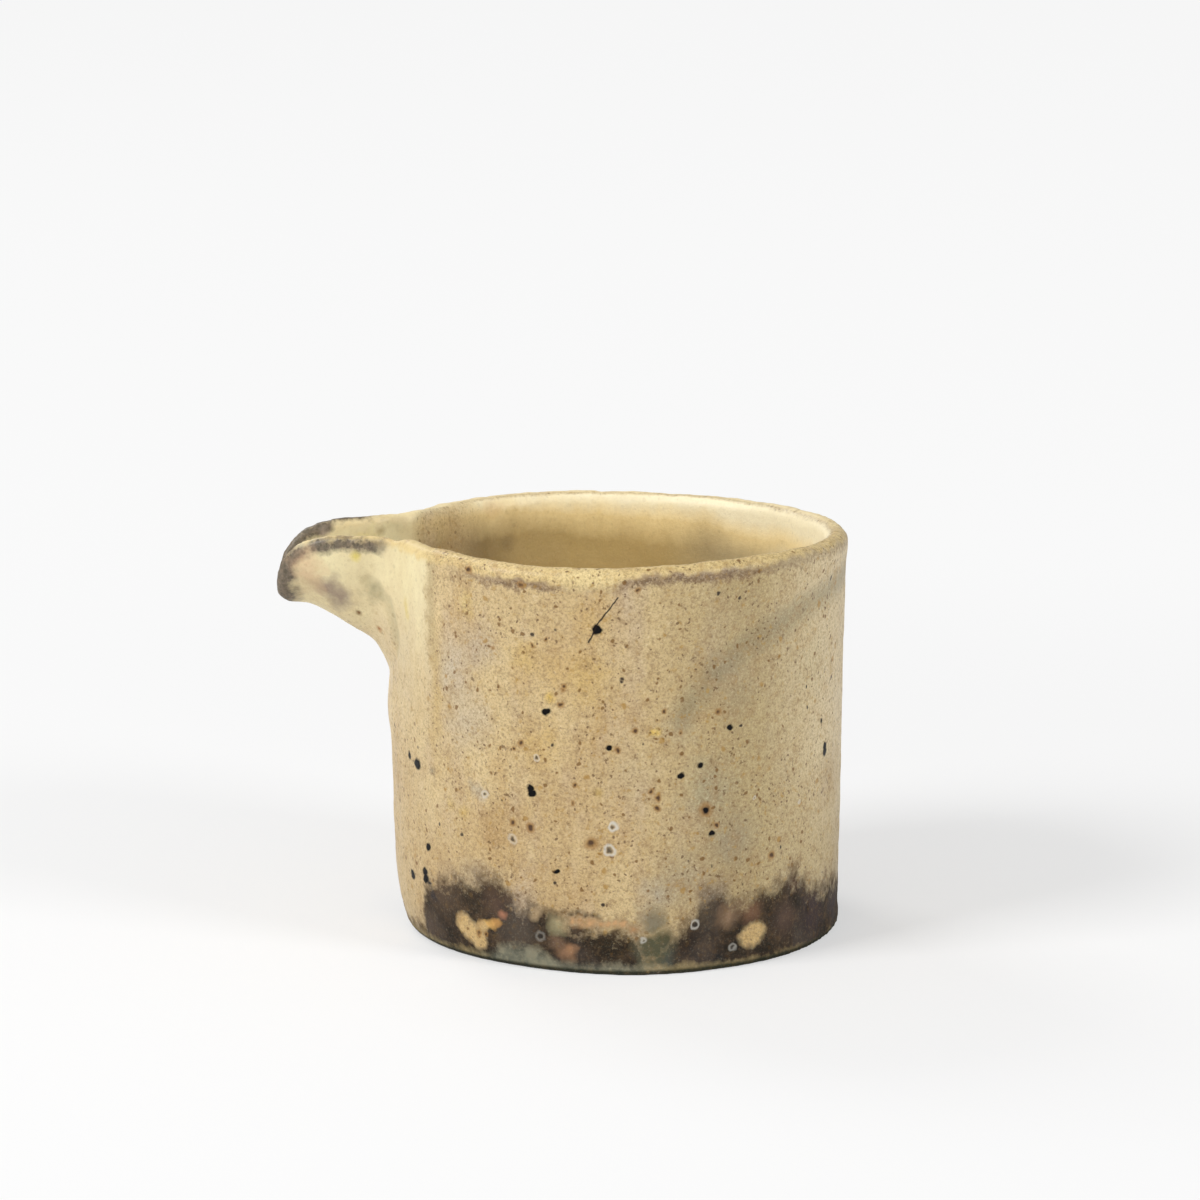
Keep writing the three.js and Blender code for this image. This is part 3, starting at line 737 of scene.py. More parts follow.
# Colours within the scorched foot, as the glaze stains. The small ones also lie on the glaze above it,
# and so do the green ones in the gap of the scorch, about -81 degrees.
footStains = [
    (-97.2, 5.4, 1.8, "#100a09", 0.95), (-92.5, 4.4, 2.2, "#0c0807", 0.95),
    (-88.0, 4.8, 1.7, "#100a09", 0.95), (-104.0, 3.0, 1.5, "#8a684e", 0.8),
    (-102.4, 3.8, 0.9, "#a77c5a", 0.6), (-106.3, 4.5, 1.2, "#6f5847", 0.7),
    (-105.6, 7.2, 1.5, "#a39a76", 0.75), (-111.2, 8.7, 0.9, "#b49c78", 0.6),
    (-116.5, 5.4, 2.6, "#4a4139", 0.8), (-140.0, 9.0, 3.2, "#473a30", 0.85),
    (-148.0, 3.6, 2.4, "#4a3e36", 0.8), (-122.5, 9.4, 2.2, "#4c3b33", 0.7),
    (-144.9, 8.1, 0.8, "#20222b", 0.9), (-146.3, 9.6, 0.6, "#20222b", 0.9),
    (-73.4, 4.6, 2.0, "#1a1213", 0.95), (-68.0, 8.6, 2.0, "#4b4135", 0.8),
    (-64.8, 1.8, 1.0, "#12151b", 0.95), (-61.0, 7.8, 1.7, "#8a7058", 0.75),
    (-57.5, 9.2, 1.4, "#6d5743", 0.7), (-54.0, 7.8, 1.8, "#7d5b45", 0.6), (-42.0, 5.4, 2.6, "#4e3d36", 0.8),
    (-29.0, 4.8, 3.2, "#352b2f", 0.9), (-14.0, 4.4, 3.0, "#352c30", 0.8),
    (-38.0, 10.3, 1.3, "#46302a", 0.8), (-32.4, 5.8, 0.6, "#1c1416", 0.9),
    (-24.8, 2.3, 0.5, "#1c1416", 0.9), (-81.6, 7.6, 1.9, "#857c66", 0.8),
    (-82.6, 4.0, 2.2, "#4f5140", 0.92), (-79.6, 4.8, 2.1, "#4a4933", 0.92),
    (-79.4, 2.4, 2.0, "#454840", 0.92), (-82.8, 1.8, 1.8, "#4d4f40", 0.92),
    (-81.1, 3.4, 1.6, "#4d4e3b", 0.92), (-127.4, 5.6, 0.9, "#cfa768", 0.9),
    (-125.4, 5.8, 0.9, "#d2a964", 0.9), (-123.6, 6.0, 0.8, "#c89a58", 0.9),
    (-122.2, 6.4, 0.6, "#b98a50", 0.9), (-120.6, 7.8, 0.75, "#a8745a", 0.9),
    *((at, 8.7, 0.75, "#3d2f25", 0.65) for at in (-102, -100, -98, -96)),
    *((at, 7.7, 0.8, "#c69d70", 0.8) for at in range(-101, -88, 2)), (-86.6, 7.1, 0.8, "#b98d62", 0.7),
]
rimLine = [  # angle in degrees and height in mm of the dark line under the rim's crest
    (-180, 57.4), (-150, 57.5), (-135, 57.4), (-120, 57.0), (-108, 56.8), (-98, 56.7), (-90, 57.1),
    (-80, 57.9), (-65, 58.0), (-50, 58.1), (-35, 58.1), (0, 57.3), (60, 56.8), (120, 57.2), (180, 57.4),
]
scorchLine = [  # the same for the top of the scorched foot
    (-180, 3.0), (-165, 1.6), (-154, 1.8), (-150.5, 4.6), (-148, 8.8), (-142, 10.2), (-134, 11.6),
    (-123, 12.2), (-118.5, 11.0), (-115.5, 9.4), (-110, 9.4), (-105.5, 8.2), (-101.5, 7.2), (-97, 6.6),
    (-91, 6.2), (-87, 5.6), (-84.2, 4.4), (-83, 0.8), (-78.6, 0.8), (-77.4, 5.0), (-72.5, 6.2), (-70, 7.8),
    (-68.4, 10.4), (-63.4, 10.8), (-58.4, 9.4), (-52, 10.0), (-45.6, 10.2), (-38.9, 11.2), (-31, 8.4),
    (-20, 7.6), (-12, 7.2), (0, 6.5), (30, 9.5), (60, 6.0), (95, 10.0), (130, 7.0), (160, 7.5), (180, 3.0),
]
poolLine = [  # the same for the glaze that pooled at the very bottom
    (-180, 0.8), (-150, 0.7), (-130, 0.9), (-123, 1.8), (-115, 3.0), (-109, 2.4), (-104.5, 1.3), (-95, 1.1),
    (-86, 1.1), (-80, 0.8), (-74, 0.7), (-65, 0.5), (-56, 0.3), (-40, 0.1), (-20, 0.0), (60, 1.0),
    (180, 0.8),
]
# Stains on the spout: x, y, z, radius, colour, how strong.
spoutStains = [
    (-43.4, -5.5, 50.9, 1.9, "#857069", 0.62), (-41.4, -5.2, 49.5, 1.9, "#806c64", 0.66),
    (-45.7, -5.0, 51.6, 2.0, "#b08a6c", 0.5), (-46.4, -6.1, 54.6, 2.0, "#d9b08a", 0.5),
    (-38.9, -4.8, 47.1, 0.45, "#74501f", 0.85), (-35.8, -5.4, 44.8, 0.5, "#a0682c", 0.8),
    (-32.3, -13.8, 50.1, 0.9, "#d2b84a", 0.6), (-32.1, -14.2, 48.8, 0.8, "#d2b84a", 0.6),
    (-39.2, -8.1, 56.1, 0.7, "#dcc95a", 0.6), (-36.9, -7.5, 50.9, 1.3, "#8f8565", 0.5),
    (-44.4, 5.1, 57.2, 0.7, "#b7a695", 0.5), (-38.0, 6.0, 56.2, 1.2, "#dccb70", 0.35),
    (-35.9, 7.0, 57.0, 0.6, "#9a8350", 0.5),
]
# Almost black: the glaze run thick round and under the foot, and painted contact shadow along the bottom
# edge.
darkGlazeAndContactShadow = "#1c2217"  # where it runs thick and almost black, round and under the foot


# Lays one colour, a code or a node, over another through masks.
def layer(tree, under, over, *masks):
    under, over = (hexColour(colour) if isinstance(colour, str) else colour for colour in (under, over))
    return add(tree, "ShaderNodeMix", product(tree, *masks), under, over, data_type="RGBA")


# A round soft mask: 0 at edge mm from its centre, most at core. It isn't clamped, because the mixing is.
def spotMask(tree, place, centre, edge, core, most=1.0):
    away = add(tree, "ShaderNodeVectorMath", place, centre, operation="DISTANCE").outputs["Value"]
    return add(tree, "ShaderNodeMapRange", away, edge, core, 0.0, most, clamp=False)


# The largest of several masks, but no more than limit.
def largest(tree, masks, limit):
    whole = 0.0
    for mask in masks:
        whole = add(tree, "ShaderNodeMath", whole, mask, operation="MAXIMUM")
    return add(tree, "ShaderNodeMath", whole, limit, operation="MINIMUM")


# The height in mm of a line at each share of the turn round the pot, as a curve between two heights.
def lineHeight(tree, turn, rows, lowest, span):
    line = add(tree, "ShaderNodeFloatCurve", 1.0, turn)
    curve = line.mapping.curves[0]
    shares = [((at + 180) / 360, (high - lowest) / span) for at, high in rows]
    for share in shares[1:-1]:
        curve.points.new(*share)
    curve.points[0].location, curve.points[-1].location = shares[0], shares[-1]
    line.mapping.update()
    return add(tree, "ShaderNodeMath", line, span, lowest, operation="MULTIPLY_ADD")


# What the layers of the glaze share: where a point is in mm, the noises, and that place stirred by noise.
def glazePlace(tree):
    spot = add(tree, "ShaderNodeTexCoord").outputs["Object"]
    place = add(tree, "ShaderNodeVectorMath", spot, (1 / mm,) * 3, operation="MULTIPLY")  # in mm
    x, y, z = add(tree, "ShaderNodeSeparateXYZ", place).outputs
    fromAxis = add(tree, "ShaderNodeMath", x, hand["lean"], operation="ADD")
    angle = add(tree, "ShaderNodeMath", y, fromAxis, operation="ARCTAN2")
    turn = add(tree, "ShaderNodeMapRange", angle, -math.pi, math.pi)
    level = add(tree, "ShaderNodeCombineXYZ", fromAxis, y, 0.0)
    radius = add(tree, "ShaderNodeVectorMath", level, operation="LENGTH").outputs["Value"]

    # Noises shared by several layers, named by the size of their lumps.
    drawn = add(tree, "ShaderNodeVectorMath", place, (1, 1, 0.45), operation="MULTIPLY")  # glaze runs down
    broad = add(tree, "ShaderNodeTexNoise", drawn, 1 / 19, 3.0, 0.55)
    clouds = add(tree, "ShaderNodeTexNoise", drawn, 1 / 6.5, 4.0, 0.6)
    lumps = add(tree, "ShaderNodeTexNoise", place, 1 / 2.4, 4.0, 0.62)
    grit = add(tree, "ShaderNodeTexNoise", place, 1 / 0.6, 3.0, 0.7)
    dust = add(tree, "ShaderNodeTexNoise", place, 1 / 0.34, 2.0, 0.8)
    elsewhere = add(tree, "ShaderNodeVectorMath", drawn, (31, 17, 9))
    drifts = add(tree, "ShaderNodeTexNoise", elsewhere, 1 / 9, 4.0, 0.62)

    # The place stirred by noise, so that patches and spots don't come out round.
    stirred = {}
    for name, size, detail in (("swirl", 3.2, 3.0), ("ripple", 1.1, 1.0)):
        noise = add(tree, "ShaderNodeTexNoise", place, 1 / size, detail, 0.6).outputs["Color"]
        parts = add(tree, "ShaderNodeSeparateColor", noise).outputs
        noise = add(tree, "ShaderNodeCombineXYZ", *parts)
        stirred[name] = add(tree, "ShaderNodeVectorMath", noise, (-0.5, -0.5, -0.5))
    warped, ruffled = (
        add(tree, "ShaderNodeVectorMath", stirred[name], (reach,) * 3, place, operation="MULTIPLY_ADD")
        for name, reach in (("swirl", 6), ("ripple", 0.8)))
    torn = add(tree, "ShaderNodeVectorMath", stirred["swirl"], (2.2,) * 3, ruffled, operation="MULTIPLY_ADD")
    return SimpleNamespace(
        place=place, x=x, y=y, z=z, turn=turn, radius=radius, broad=broad, clouds=clouds, lumps=lumps,
        grit=grit, dust=dust, drifts=drifts, warped=warped, ruffled=ruffled, torn=torn,
        outer=product(tree, (radius, 30.5, 32.0)),
        inward=product(tree, (radius, 29.9, 29.6, 0.0, 40.0)))  # the floor inside isn't scorched


# Sand with pinkish grey drifts, cream and ochre clouds, olive towards the right and pale at its edge. The
# olive darkening is partly painted shade, the pale edge partly painted light.
def groundColour(tree, at):
    colour = "#c4a878"
    for code, *masks in (
        ("#d2ba8a", (at.broad, 0.36, 0.64)), ("#bda78d", (at.drifts, 0.5, 0.7, 0.0, 0.75)),
        ("#dfc896", (at.clouds, 0.52, 0.74, 0.0, 0.7)), ("#b8935a", (at.clouds, 0.46, 0.28, 0.0, 0.6)),
        # Partly painted shade: darker and olive towards the right. Partly painted light: paler at the right
        # edge, higher up.
        ("#a59468", (at.x, 0.0, 16.0, 0.0, 0.6)),
        ("#dac8a1", (at.x, 19.0, 28.0, 0.0, 0.75), (at.z, 14.0, 30.0, 0.3, 1.0)),
    ):
        colour = layer(tree, colour, code, *masks)

    for angle, high, size, code, strength in glazeStains:
        near = at.warped if size > 1 else at.ruffled
        mask = spotMask(tree, near, onWall(angle, high), size * 1.35, 0.0, strength * 1.2)
        colour = layer(tree, colour, code, mask)
    return colour


# Pale lemon cream pooled on the spout and its root, ending in a ragged edge on the wall, with a thin painted
# shadow along the step where it ends.
def creamAtSpout(tree, at, colour):
    rootEdge = add(tree, "ShaderNodeMath", at.clouds, 3.0, at.x, operation="MULTIPLY_ADD")
    rootEdge = add(tree, "ShaderNodeMath", at.lumps, 1.6, rootEdge, operation="MULTIPLY_ADD")
    pooled = product(tree, (rootEdge, -24.4, -27.0), (at.z, 28.0, 52.0, 0.1, 1.0), at.outer)
    cream = layer(tree, "#ede1b4", "#dccb9f", (at.drifts, 0.38, 0.62))
    cream = layer(tree, cream, "#d2bd93", (at.z, 49.0, 43.0, 0.0, 0.6))
    colour = layer(tree, colour, cream, pooled)
    front = product(tree, (at.y, -10.0, -16.0))
    streak = add(tree, "ShaderNodeMath", at.lumps, 1.6, at.x, operation="MULTIPLY_ADD")
    streak = add(tree, "ShaderNodeMath", streak, 26.4, operation="ADD")
    streak = add(tree, "ShaderNodeMath", streak, operation="ABSOLUTE")
    colour = layer(tree, colour, "#c3a463", (streak, 1.3, 0.2, 0.0, 0.5), (at.z, 52.0, 44.0),
                   (at.z, 22.0, 40.0), front)
    # Painted shadow: a thin darker line on the wall beside the step at the spout's root.
    paintedRootShadow = add(tree, "ShaderNodeMath", rootEdge, 25.4, operation="ADD")
    paintedRootShadow = add(tree, "ShaderNodeMath", paintedRootShadow, operation="ABSOLUTE")
    colour = layer(tree, colour, "#a08c64", (paintedRootShadow, 1.1, 0.3, 0.0, 0.4), front, (at.z, 42.0, 48.0))
    return colour, pooled


# The inside is the same glaze, cream by the rim and thicker, olive and darker further down, with light and
# shade painted into it.
def insideGlaze(tree, at, colour):
    inside = product(tree, (at.radius, 31.5, 30.9))
    softly = product(tree, (at.radius, 33.5, 27.0))
    inside = add(tree, "ShaderNodeMix", product(tree, (at.x, -21.0, -25.0)), inside, softly)
    down = add(tree, "ShaderNodeMath", at.x, 0.08, at.z, operation="MULTIPLY_ADD")
    down = add(tree, "ShaderNodeMath", at.clouds, 5.0, down, operation="MULTIPLY_ADD")
    # Painted light: very pale by the rim. The darkening downwards is partly thicker glaze and partly painted
    # shade.
    insideGlazePaintedLightAndShade = layer(tree, "#fff2cc", "#fbe0a2", (down, 60.0, 57.2))
    # Painted shade on the left side of the inside, and painted light on the right side.
    lowerGlazePaintedLightAndShade = layer(tree, "#b99e66", "#836e48", (at.x, -16.0, -23.0))
    lowerGlazePaintedLightAndShade = layer(tree, lowerGlazePaintedLightAndShade, "#b9a67c", (at.x, 6.0, 15.0))
    lowerGlazePaintedLightAndShade = layer(tree, lowerGlazePaintedLightAndShade, "#f6ecca", (at.x, 20.0, 28.0))
    insideGlazePaintedLightAndShade = layer(tree, insideGlazePaintedLightAndShade, lowerGlazePaintedLightAndShade, (down, 58.0, 53.5))
    insideGlazePaintedLightAndShade = layer(tree, insideGlazePaintedLightAndShade, "#b5966a", (at.drifts, 0.5, 0.75, 0.0, 0.25))
    for *centre, size, code, strength in insideStains:
        insideGlazePaintedLightAndShade = layer(tree, insideGlazePaintedLightAndShade, code, spotMask(tree, at.ruffled, centre, size * 1.5, 0.0, strength * 1.2))
    colour = layer(tree, colour, insideGlazePaintedLightAndShade, inside)
    return colour, inside


# Painted shade along the crease: a greyer, darker band. The distances stored in the mesh are in metres.
def paintedCreaseShade(tree, at, colour):
    crease = add(tree, "ShaderNodeAttribute", attribute_name="creaseAway").outputs["Fac"]
    crease = add(tree, "ShaderNodeMath", at.lumps, 0.002, crease, operation="MULTIPLY_ADD")
    return layer(tree, colour, "#827c62", (crease, 0.0040, 0.0012, 0.0, 0.62), at.outer)


# The rim: cream crest over a thin dark line of bare, speckled clay, rubbed away in one place, where a gold
# glint is painted as a highlight. The crest is painted paler towards the far side as painted light.
def rimGlaze(tree, at, colour):
    over = add(tree, "ShaderNodeMath", at.z, lineHeight(tree, at.turn, rimLine, 55, 5), operation="SUBTRACT")
    over = add(tree, "ShaderNodeMath", at.lumps, 3.2, over, operation="MULTIPLY_ADD")
    # Painted light: the crest is paler towards the far side.
    gold = layer(tree, "#e0c78b", "#f6e4b6", (at.y, -8.0, 14.0))
    gold = layer(tree, gold, "#b08a52", (at.lumps, 0.5, 0.38, 0.0, 0.6), (at.y, 12.0, -4.0, 0.15, 1.0))
    crest = product(tree, (over, 1.7, 2.7, 0.0, 0.85), (at.radius, 31.2, 31.8))
    colour = layer(tree, colour, gold, crest)
    rubbedAndGlint = add(tree, "ShaderNodeVectorMath", at.place, onWall(-97, 57), operation="DISTANCE")
    rubbedAndGlint = product(tree, (rubbedAndGlint.outputs["Value"], 2.5, 6.5, 0.15, 1.0))
    rimBand = product(tree, (over, 0.4, 1.3), (over, 2.3, 1.7), (at.radius, 31.6, 32.6),
                      (at.x, -26.0, -17.0), (at.x, 25.0, 13.0, 0.3, 1.0), (at.y, 10.0, 0.0, 0.04, 1.0),
                      rubbedAndGlint)
    # Painted highlight: a gold glint on the crest where the dark line is rubbed away.
    colour = layer(tree, colour, "#e6d098", (rubbedAndGlint, 0.8, 0.2, 0.0, 0.8), (over, 0.9, 1.5))
    colour = layer(tree, colour, "#957c66", rimBand, 0.6)
    colour = layer(tree, colour, "#574031", rimBand, (at.grit, 0.4, 0.58, 0.1, 0.85))
    return colour, crest


# Painted greenish shade in the fold at the spout's root, dark lips, and the stains on its sides.
def spoutGlaze(tree, at, colour):
    fold = add(tree, "ShaderNodeAttribute", attribute_name="foldAway").outputs["Fac"]
    fold = add(tree, "ShaderNodeMath", at.lumps, 0.0022, fold, operation="MULTIPLY_ADD")
    # Painted shade: greenish grey in the fold where the spout meets the wall.
    colour = layer(tree, colour, "#948e6c", (fold, 0.0027, 0.0012, 0.0, 0.72))

    lipAway = add(tree, "ShaderNodeAttribute", attribute_name="lipAway").outputs["Fac"]
    lipAway = add(tree, "ShaderNodeMath", at.lumps, 0.0026, lipAway, operation="MULTIPLY_ADD")
    outwards = add(tree, "ShaderNodeMath", at.y, 0.15, at.x, operation="MULTIPLY_ADD")
    lips = product(tree, (lipAway, 0.0028, 0.0018), (outwards, -34.2, -38.0))
    tip = add(tree, "ShaderNodeMath", at.lumps, 5.0, at.x, operation="MULTIPLY_ADD")
    tip = product(tree, (tip, -44.4, -46.6))
    lips = add(tree, "ShaderNodeMath", lips, tip, operation="MAXIMUM")
    soot = layer(tree, "#2c2522", "#6b5d53", (at.grit, 0.35, 0.65))
    colour = layer(tree, colour, soot, lips, 0.9)
    for *centre, size, code, strength in spoutStains:
        near = at.warped if size > 1 else at.ruffled
        mask = spotMask(tree, near, centre, size * 1.6, size * 0.4, strength)
        colour = layer(tree, colour, code, mask)
    return colour


# The foot: scorched violet brown up to a ragged line with a grey haze over it, cream left in patches.
def scorchedFoot(tree, at, colour):
    ragged = add(tree, "ShaderNodeMapRange", at.lumps, 0.3, 0.7, -1.8, 1.8, clamp=False)
    line = add(tree, "ShaderNodeMath", lineHeight(tree, at.turn, scorchLine, 0, 20), ragged, operation="ADD")
    under = add(tree, "ShaderNodeMath", line, at.z, operation="SUBTRACT")
    under = add(tree, "ShaderNodeMath", under, at.inward, operation="SUBTRACT")
    haze = add(tree, "ShaderNodeMapRange", under, -4.6, 0.4, 0.0, 0.6, interpolation_type="SMOOTHSTEP")
    colour = layer(tree, colour, "#857460", haze, (at.drifts, 0.4, 0.58, 0.35, 1.0))
    edged = add(tree, "ShaderNodeMath", at.grit, 2.2, under, operation="MULTIPLY_ADD")
    scorch = product(tree, (edged, -0.8, 2.5, 0.0, 0.97))
    char = layer(tree, "#0e0908", "#352921", (at.lumps, 0.36, 0.62))
    char = layer(tree, char, "#5a524d", (at.drifts, 0.5, 0.66, 0.0, 0.4))
    for angle, high, size, code, strength in footStains:
        mask = spotMask(tree, at.torn, onWall(angle, high), size * 1.4, size * 0.5, strength)
        char = layer(tree, char, code, mask)
        if size <= 1 or -83 < angle < -79:
            scorch = add(tree, "ShaderNodeMath", scorch, mask, operation="MAXIMUM")
    char = layer(tree, char, "#6f5b49", (at.grit, 0.52, 0.74, 0.0, 0.2))
    scorch = add(tree, "ShaderNodeMath", scorch, 0.97, operation="MINIMUM")
    patches = largest(tree, (spotMask(tree, at.torn, onWall(angle, high), size + 0.6, size - 0.4)
                             for angle, high, size in creamPatches), 1.0)
    left = add(tree, "ShaderNodeMath", 1.0, patches, operation="SUBTRACT")
    scorch = product(tree, scorch, left)
    colour = layer(tree, colour, "#cfae72", patches, 0.8)
    colour = layer(tree, colour, char, scorch)
    return colour, scorch


# Celadon green where the glaze pooled at the very bottom, cream beside it, ending in a dark line of dark
# glaze and painted contact shadow.
def pooledFoot(tree, at, colour):
    pool = add(tree, "ShaderNodeMapRange", at.lumps, 0.3, 0.7, -0.6, 0.6, clamp=False)
    pool = add(tree, "ShaderNodeMath", pool, lineHeight(tree, at.turn, poolLine, 0, 5), operation="ADD")
    pool = add(tree, "ShaderNodeMath", pool, at.z, operation="SUBTRACT")
    pool = add(tree, "ShaderNodeMath", pool, at.inward, operation="SUBTRACT")
    green = layer(tree, "#6f7061", "#92907a", (at.lumps, 0.4, 0.6))
    for start, end in ((0.155, 0.135), (0.26, 0.29)):
        green = layer(tree, green, "#b5a272", (at.turn, start, end, 0.0, 0.9))
    colour = layer(tree, colour, green, (pool, -1.0, 0.6, 0.0, 0.85))
    # Painted contact shadow, with the dark glaze, along the bottom edge.
    return layer(tree, colour, darkGlazeAndContactShadow, (at.z, 1.0, 0.55, 0.0, 0.95))


# Grit and iron specks, from a tenth of a millimetre up, thickest where the glaze is thin.
# Few lie where one of the masks in cleanest is whole.
def specks(tree, at, colour, cleanest):
    clean = cleanest[0]
    for mask in cleanest[1:]:
        clean = add(tree, "ShaderNodeMath", clean, mask, operation="MAXIMUM")
    clean = add(tree, "ShaderNodeMath", clean, -0.88, 1.0, operation="MULTIPLY_ADD")
    thin = product(tree, (at.clouds, 0.62, 0.42, 0.3, 1.0))
    speckled = product(tree, thin, clean)
    freckles = add(tree, "ShaderNodeTexNoise", at.place, 1 / 0.85, 2.0, 0.6)
    for source, least, most, strength, code, where in (
        (at.lumps, 0.5, 0.72, 0.45, "#a07e50", clean), (at.grit, 0.5, 0.7, 0.55, "#8f7450", clean),
        (at.dust, 0.5, 0.68, 0.5, "#7d6644", clean), (freckles, 0.4, 0.3, 0.65, "#ab853c", speckled),
        (freckles, 0.63, 0.71, 0.8, "#654623", speckled),
    ):
        colour = layer(tree, colour, code, (source, least, most, 0.0, strength), where)
    pale = add(tree, "ShaderNodeMath", clean, 0.22, 0.04, operation="MULTIPLY_ADD")
    colour = layer(tree, colour, "#f3e8c6", (at.dust, 0.44, 0.28), pale)
    # The size of the cells that the specks stand in, a speck's least and most radius, how rare they are,
    # and how much the thin glaze adds to them.
    for cell, least, most, share, code, strength, often in (
        (0.9, 0.10, 0.22, 0.56, "#664a2e", 0.8, 0.3), (1.6, 0.16, 0.36, 0.6, "#75501f", 0.85, 0.35),
        (2.8, 0.25, 0.5, 0.74, "#a37a2e", 0.65, 0.35), (3.3, 0.2, 0.4, 0.68, "#2b1e15", 0.95, 0.2),
    ):
        shifted = add(tree, "ShaderNodeVectorMath", at.ruffled, (cell * 7, cell * 3, cell * 5))
        cells = add(tree, "ShaderNodeTexVoronoi", shifted, 1 / cell)
        dice = add(tree, "ShaderNodeSeparateColor", cells.outputs["Color"]).outputs["Red"]
        dice = add(tree, "ShaderNodeMath", thin, often, dice, operation="MULTIPLY_ADD")
        least, most, bar = least / cell, most / cell, share + often * 0.6
        reach = product(tree, (dice, bar, 1.1, least, most))
        some = add(tree, "ShaderNodeMath", dice, bar, operation="GREATER_THAN")
        gap = add(tree, "ShaderNodeMath", reach, cells.outputs["Distance"], operation="SUBTRACT")
        colour = layer(tree, colour, code, (gap, -0.15 * least, 0.75 * least, 0.0, strength), some, clean)
    return colour


# Single marks: rust that bleeds round a dark core, iron spots, and pinholes: a milky ring round painted
# shade for the hole.
def kilnMarks(tree, at, colour):
    for spots, edge, core, most, code in (
        (rustSpots, 1.6, 0.6, 0.75, "#9a7038"), (rustSpots, 0.9, 0.35, 0.92, "#3f2511"),
        (ironSpots, 1.2, 0.78, 1.0, "#050303"),
    ):
        marks = largest(tree, (spotMask(tree, at.ruffled, onWall(angle, high), size * edge, size * core)
                               for angle, high, size in spots), most)
        colour = layer(tree, colour, code, marks)
    iron = marks
    halo, paintedPitShade = 0.0, 0.0
    for angle, high, size, milk in ringPits:
        away = add(tree, "ShaderNodeVectorMath", at.ruffled, onWall(angle, high), operation="DISTANCE")
        away = away.outputs["Value"]
        milky = add(tree, "ShaderNodeMath", away, size * 0.65, operation="SUBTRACT")
        milky = add(tree, "ShaderNodeMath", milky, operation="ABSOLUTE")
        milky = add(tree, "ShaderNodeMapRange", milky, size * 0.34, size * 0.06, 0.0, milk, clamp=False)
        halo = add(tree, "ShaderNodeMath", halo, milky, operation="MAXIMUM")
        pit = add(tree, "ShaderNodeMapRange", away, size * 0.5, size * 0.2, clamp=False)
        paintedPitShade = add(tree, "ShaderNodeMath", paintedPitShade, pit, operation="MAXIMUM")
    paintedPitShade = add(tree, "ShaderNodeMath", paintedPitShade, 0.85, operation="MINIMUM")
    colour = layer(tree, colour, "#cfccc2", halo)
    # Painted shade: the dark hollow of each pinhole, which the mesh doesn't have.
    colour = layer(tree, colour, "#332e2a", paintedPitShade)
    return colour, iron


# A hairline crack runs through the largest pinhole near the rim.
def hairline(tree, at, colour):
    bent = product(tree, (at.clouds, 0.3, 0.7, -0.5, 0.5))
    start, end = Vector(onWall(-97.2, 49.0)), Vector(onWall(-89.7, 55.3))
    reach = end - start
    offset = add(tree, "ShaderNodeVectorMath", at.place, start, operation="SUBTRACT")
    share = add(tree, "ShaderNodeVectorMath", offset, reach / reach.length_squared, operation="DOT_PRODUCT")
    share = add(tree, "ShaderNodeMath", share.outputs["Value"], 0.0, operation="ADD", use_clamp=True)
    nearest = add(tree, "ShaderNodeVectorMath", reach, sockets={"Scale": share}, operation="SCALE")
    offset = add(tree, "ShaderNodeVectorMath", offset, nearest, operation="SUBTRACT")
    bow = add(tree, "ShaderNodeMath", share, share, operation="MULTIPLY")
    bow = add(tree, "ShaderNodeMath", share, bow, operation="SUBTRACT")
    bow = add(tree, "ShaderNodeMath", bow, 1.4, bent, operation="MULTIPLY_ADD")
    across = Vector((reach.z, 0, -reach.x)).normalized()
    sideways = add(tree, "ShaderNodeVectorMath", across, sockets={"Scale": bow}, operation="SCALE")
    offset = add(tree, "ShaderNodeVectorMath", offset, sideways, operation="ADD")
    offset = add(tree, "ShaderNodeVectorMath", offset, (1, 0.2, 1), operation="MULTIPLY")
    away = add(tree, "ShaderNodeVectorMath", offset, operation="LENGTH").outputs["Value"]
    return layer(tree, colour, "#1a100b", (away, 0.16, 0.06, 0.0, 0.95))


# Ash and feldspar glaze over coarse stoneware, brushed on and fired satin: sand and cream that pool and
# thin, iron breaking through as specks, a scorched foot and dark lips where the glaze drew back.
def stonewareGlaze():
    material, tree = newMaterial("Speckled ash glaze on stoneware")
    at = glazePlace(tree)
    colour = groundColour(tree, at)
    colour, pooled = creamAtSpout(tree, at, colour)
    colour, inside = insideGlaze(tree, at, colour)
    colour = paintedCreaseShade(tree, at, colour)
    colour, crest = rimGlaze(tree, at, colour)
    colour = spoutGlaze(tree, at, colour)
    colour, scorch = scorchedFoot(tree, at, colour)
    colour = pooledFoot(tree, at, colour)
    farCrest = product(tree, (at.y, 0.0, 14.0, 0.0, 1.1), crest)
    colour = specks(tree, at, colour, (scorch, pooled, inside, farCrest))
    colour, iron = kilnMarks(tree, at, colour)
    colour = hairline(tree, at, colour)

    # Satin, rougher where scorched; fine orange-peel relief too small for the mesh.
    gloss = product(tree, (at.lumps, 0.3, 0.7, 0.38, 0.54))
    rough = add(tree, "ShaderNodeMath", scorch, 0.2, gloss, operation="MULTIPLY_ADD")
    dry = add(tree, "ShaderNodeMath", scorch, iron, operation="MAXIMUM")
    sheen = add(tree, "ShaderNodeMath", dry, -0.32, 0.5, operation="MULTIPLY_ADD")
    fine = add(tree, "ShaderNodeMath", at.grit, 0.5, at.lumps, operation="MULTIPLY_ADD")
    relief = add(tree, "ShaderNodeBump", 0.5, 0.00016, sockets={"Height": fine})
    glaze = add(tree, "ShaderNodeBsdfPrincipled", sockets={
        "Base Color": colour, "Roughness": rough, "IOR": 1.42, "Specular IOR Level": sheen,
        "Normal": relief})
    add(tree, "ShaderNodeOutputMaterial", glaze)
    return material


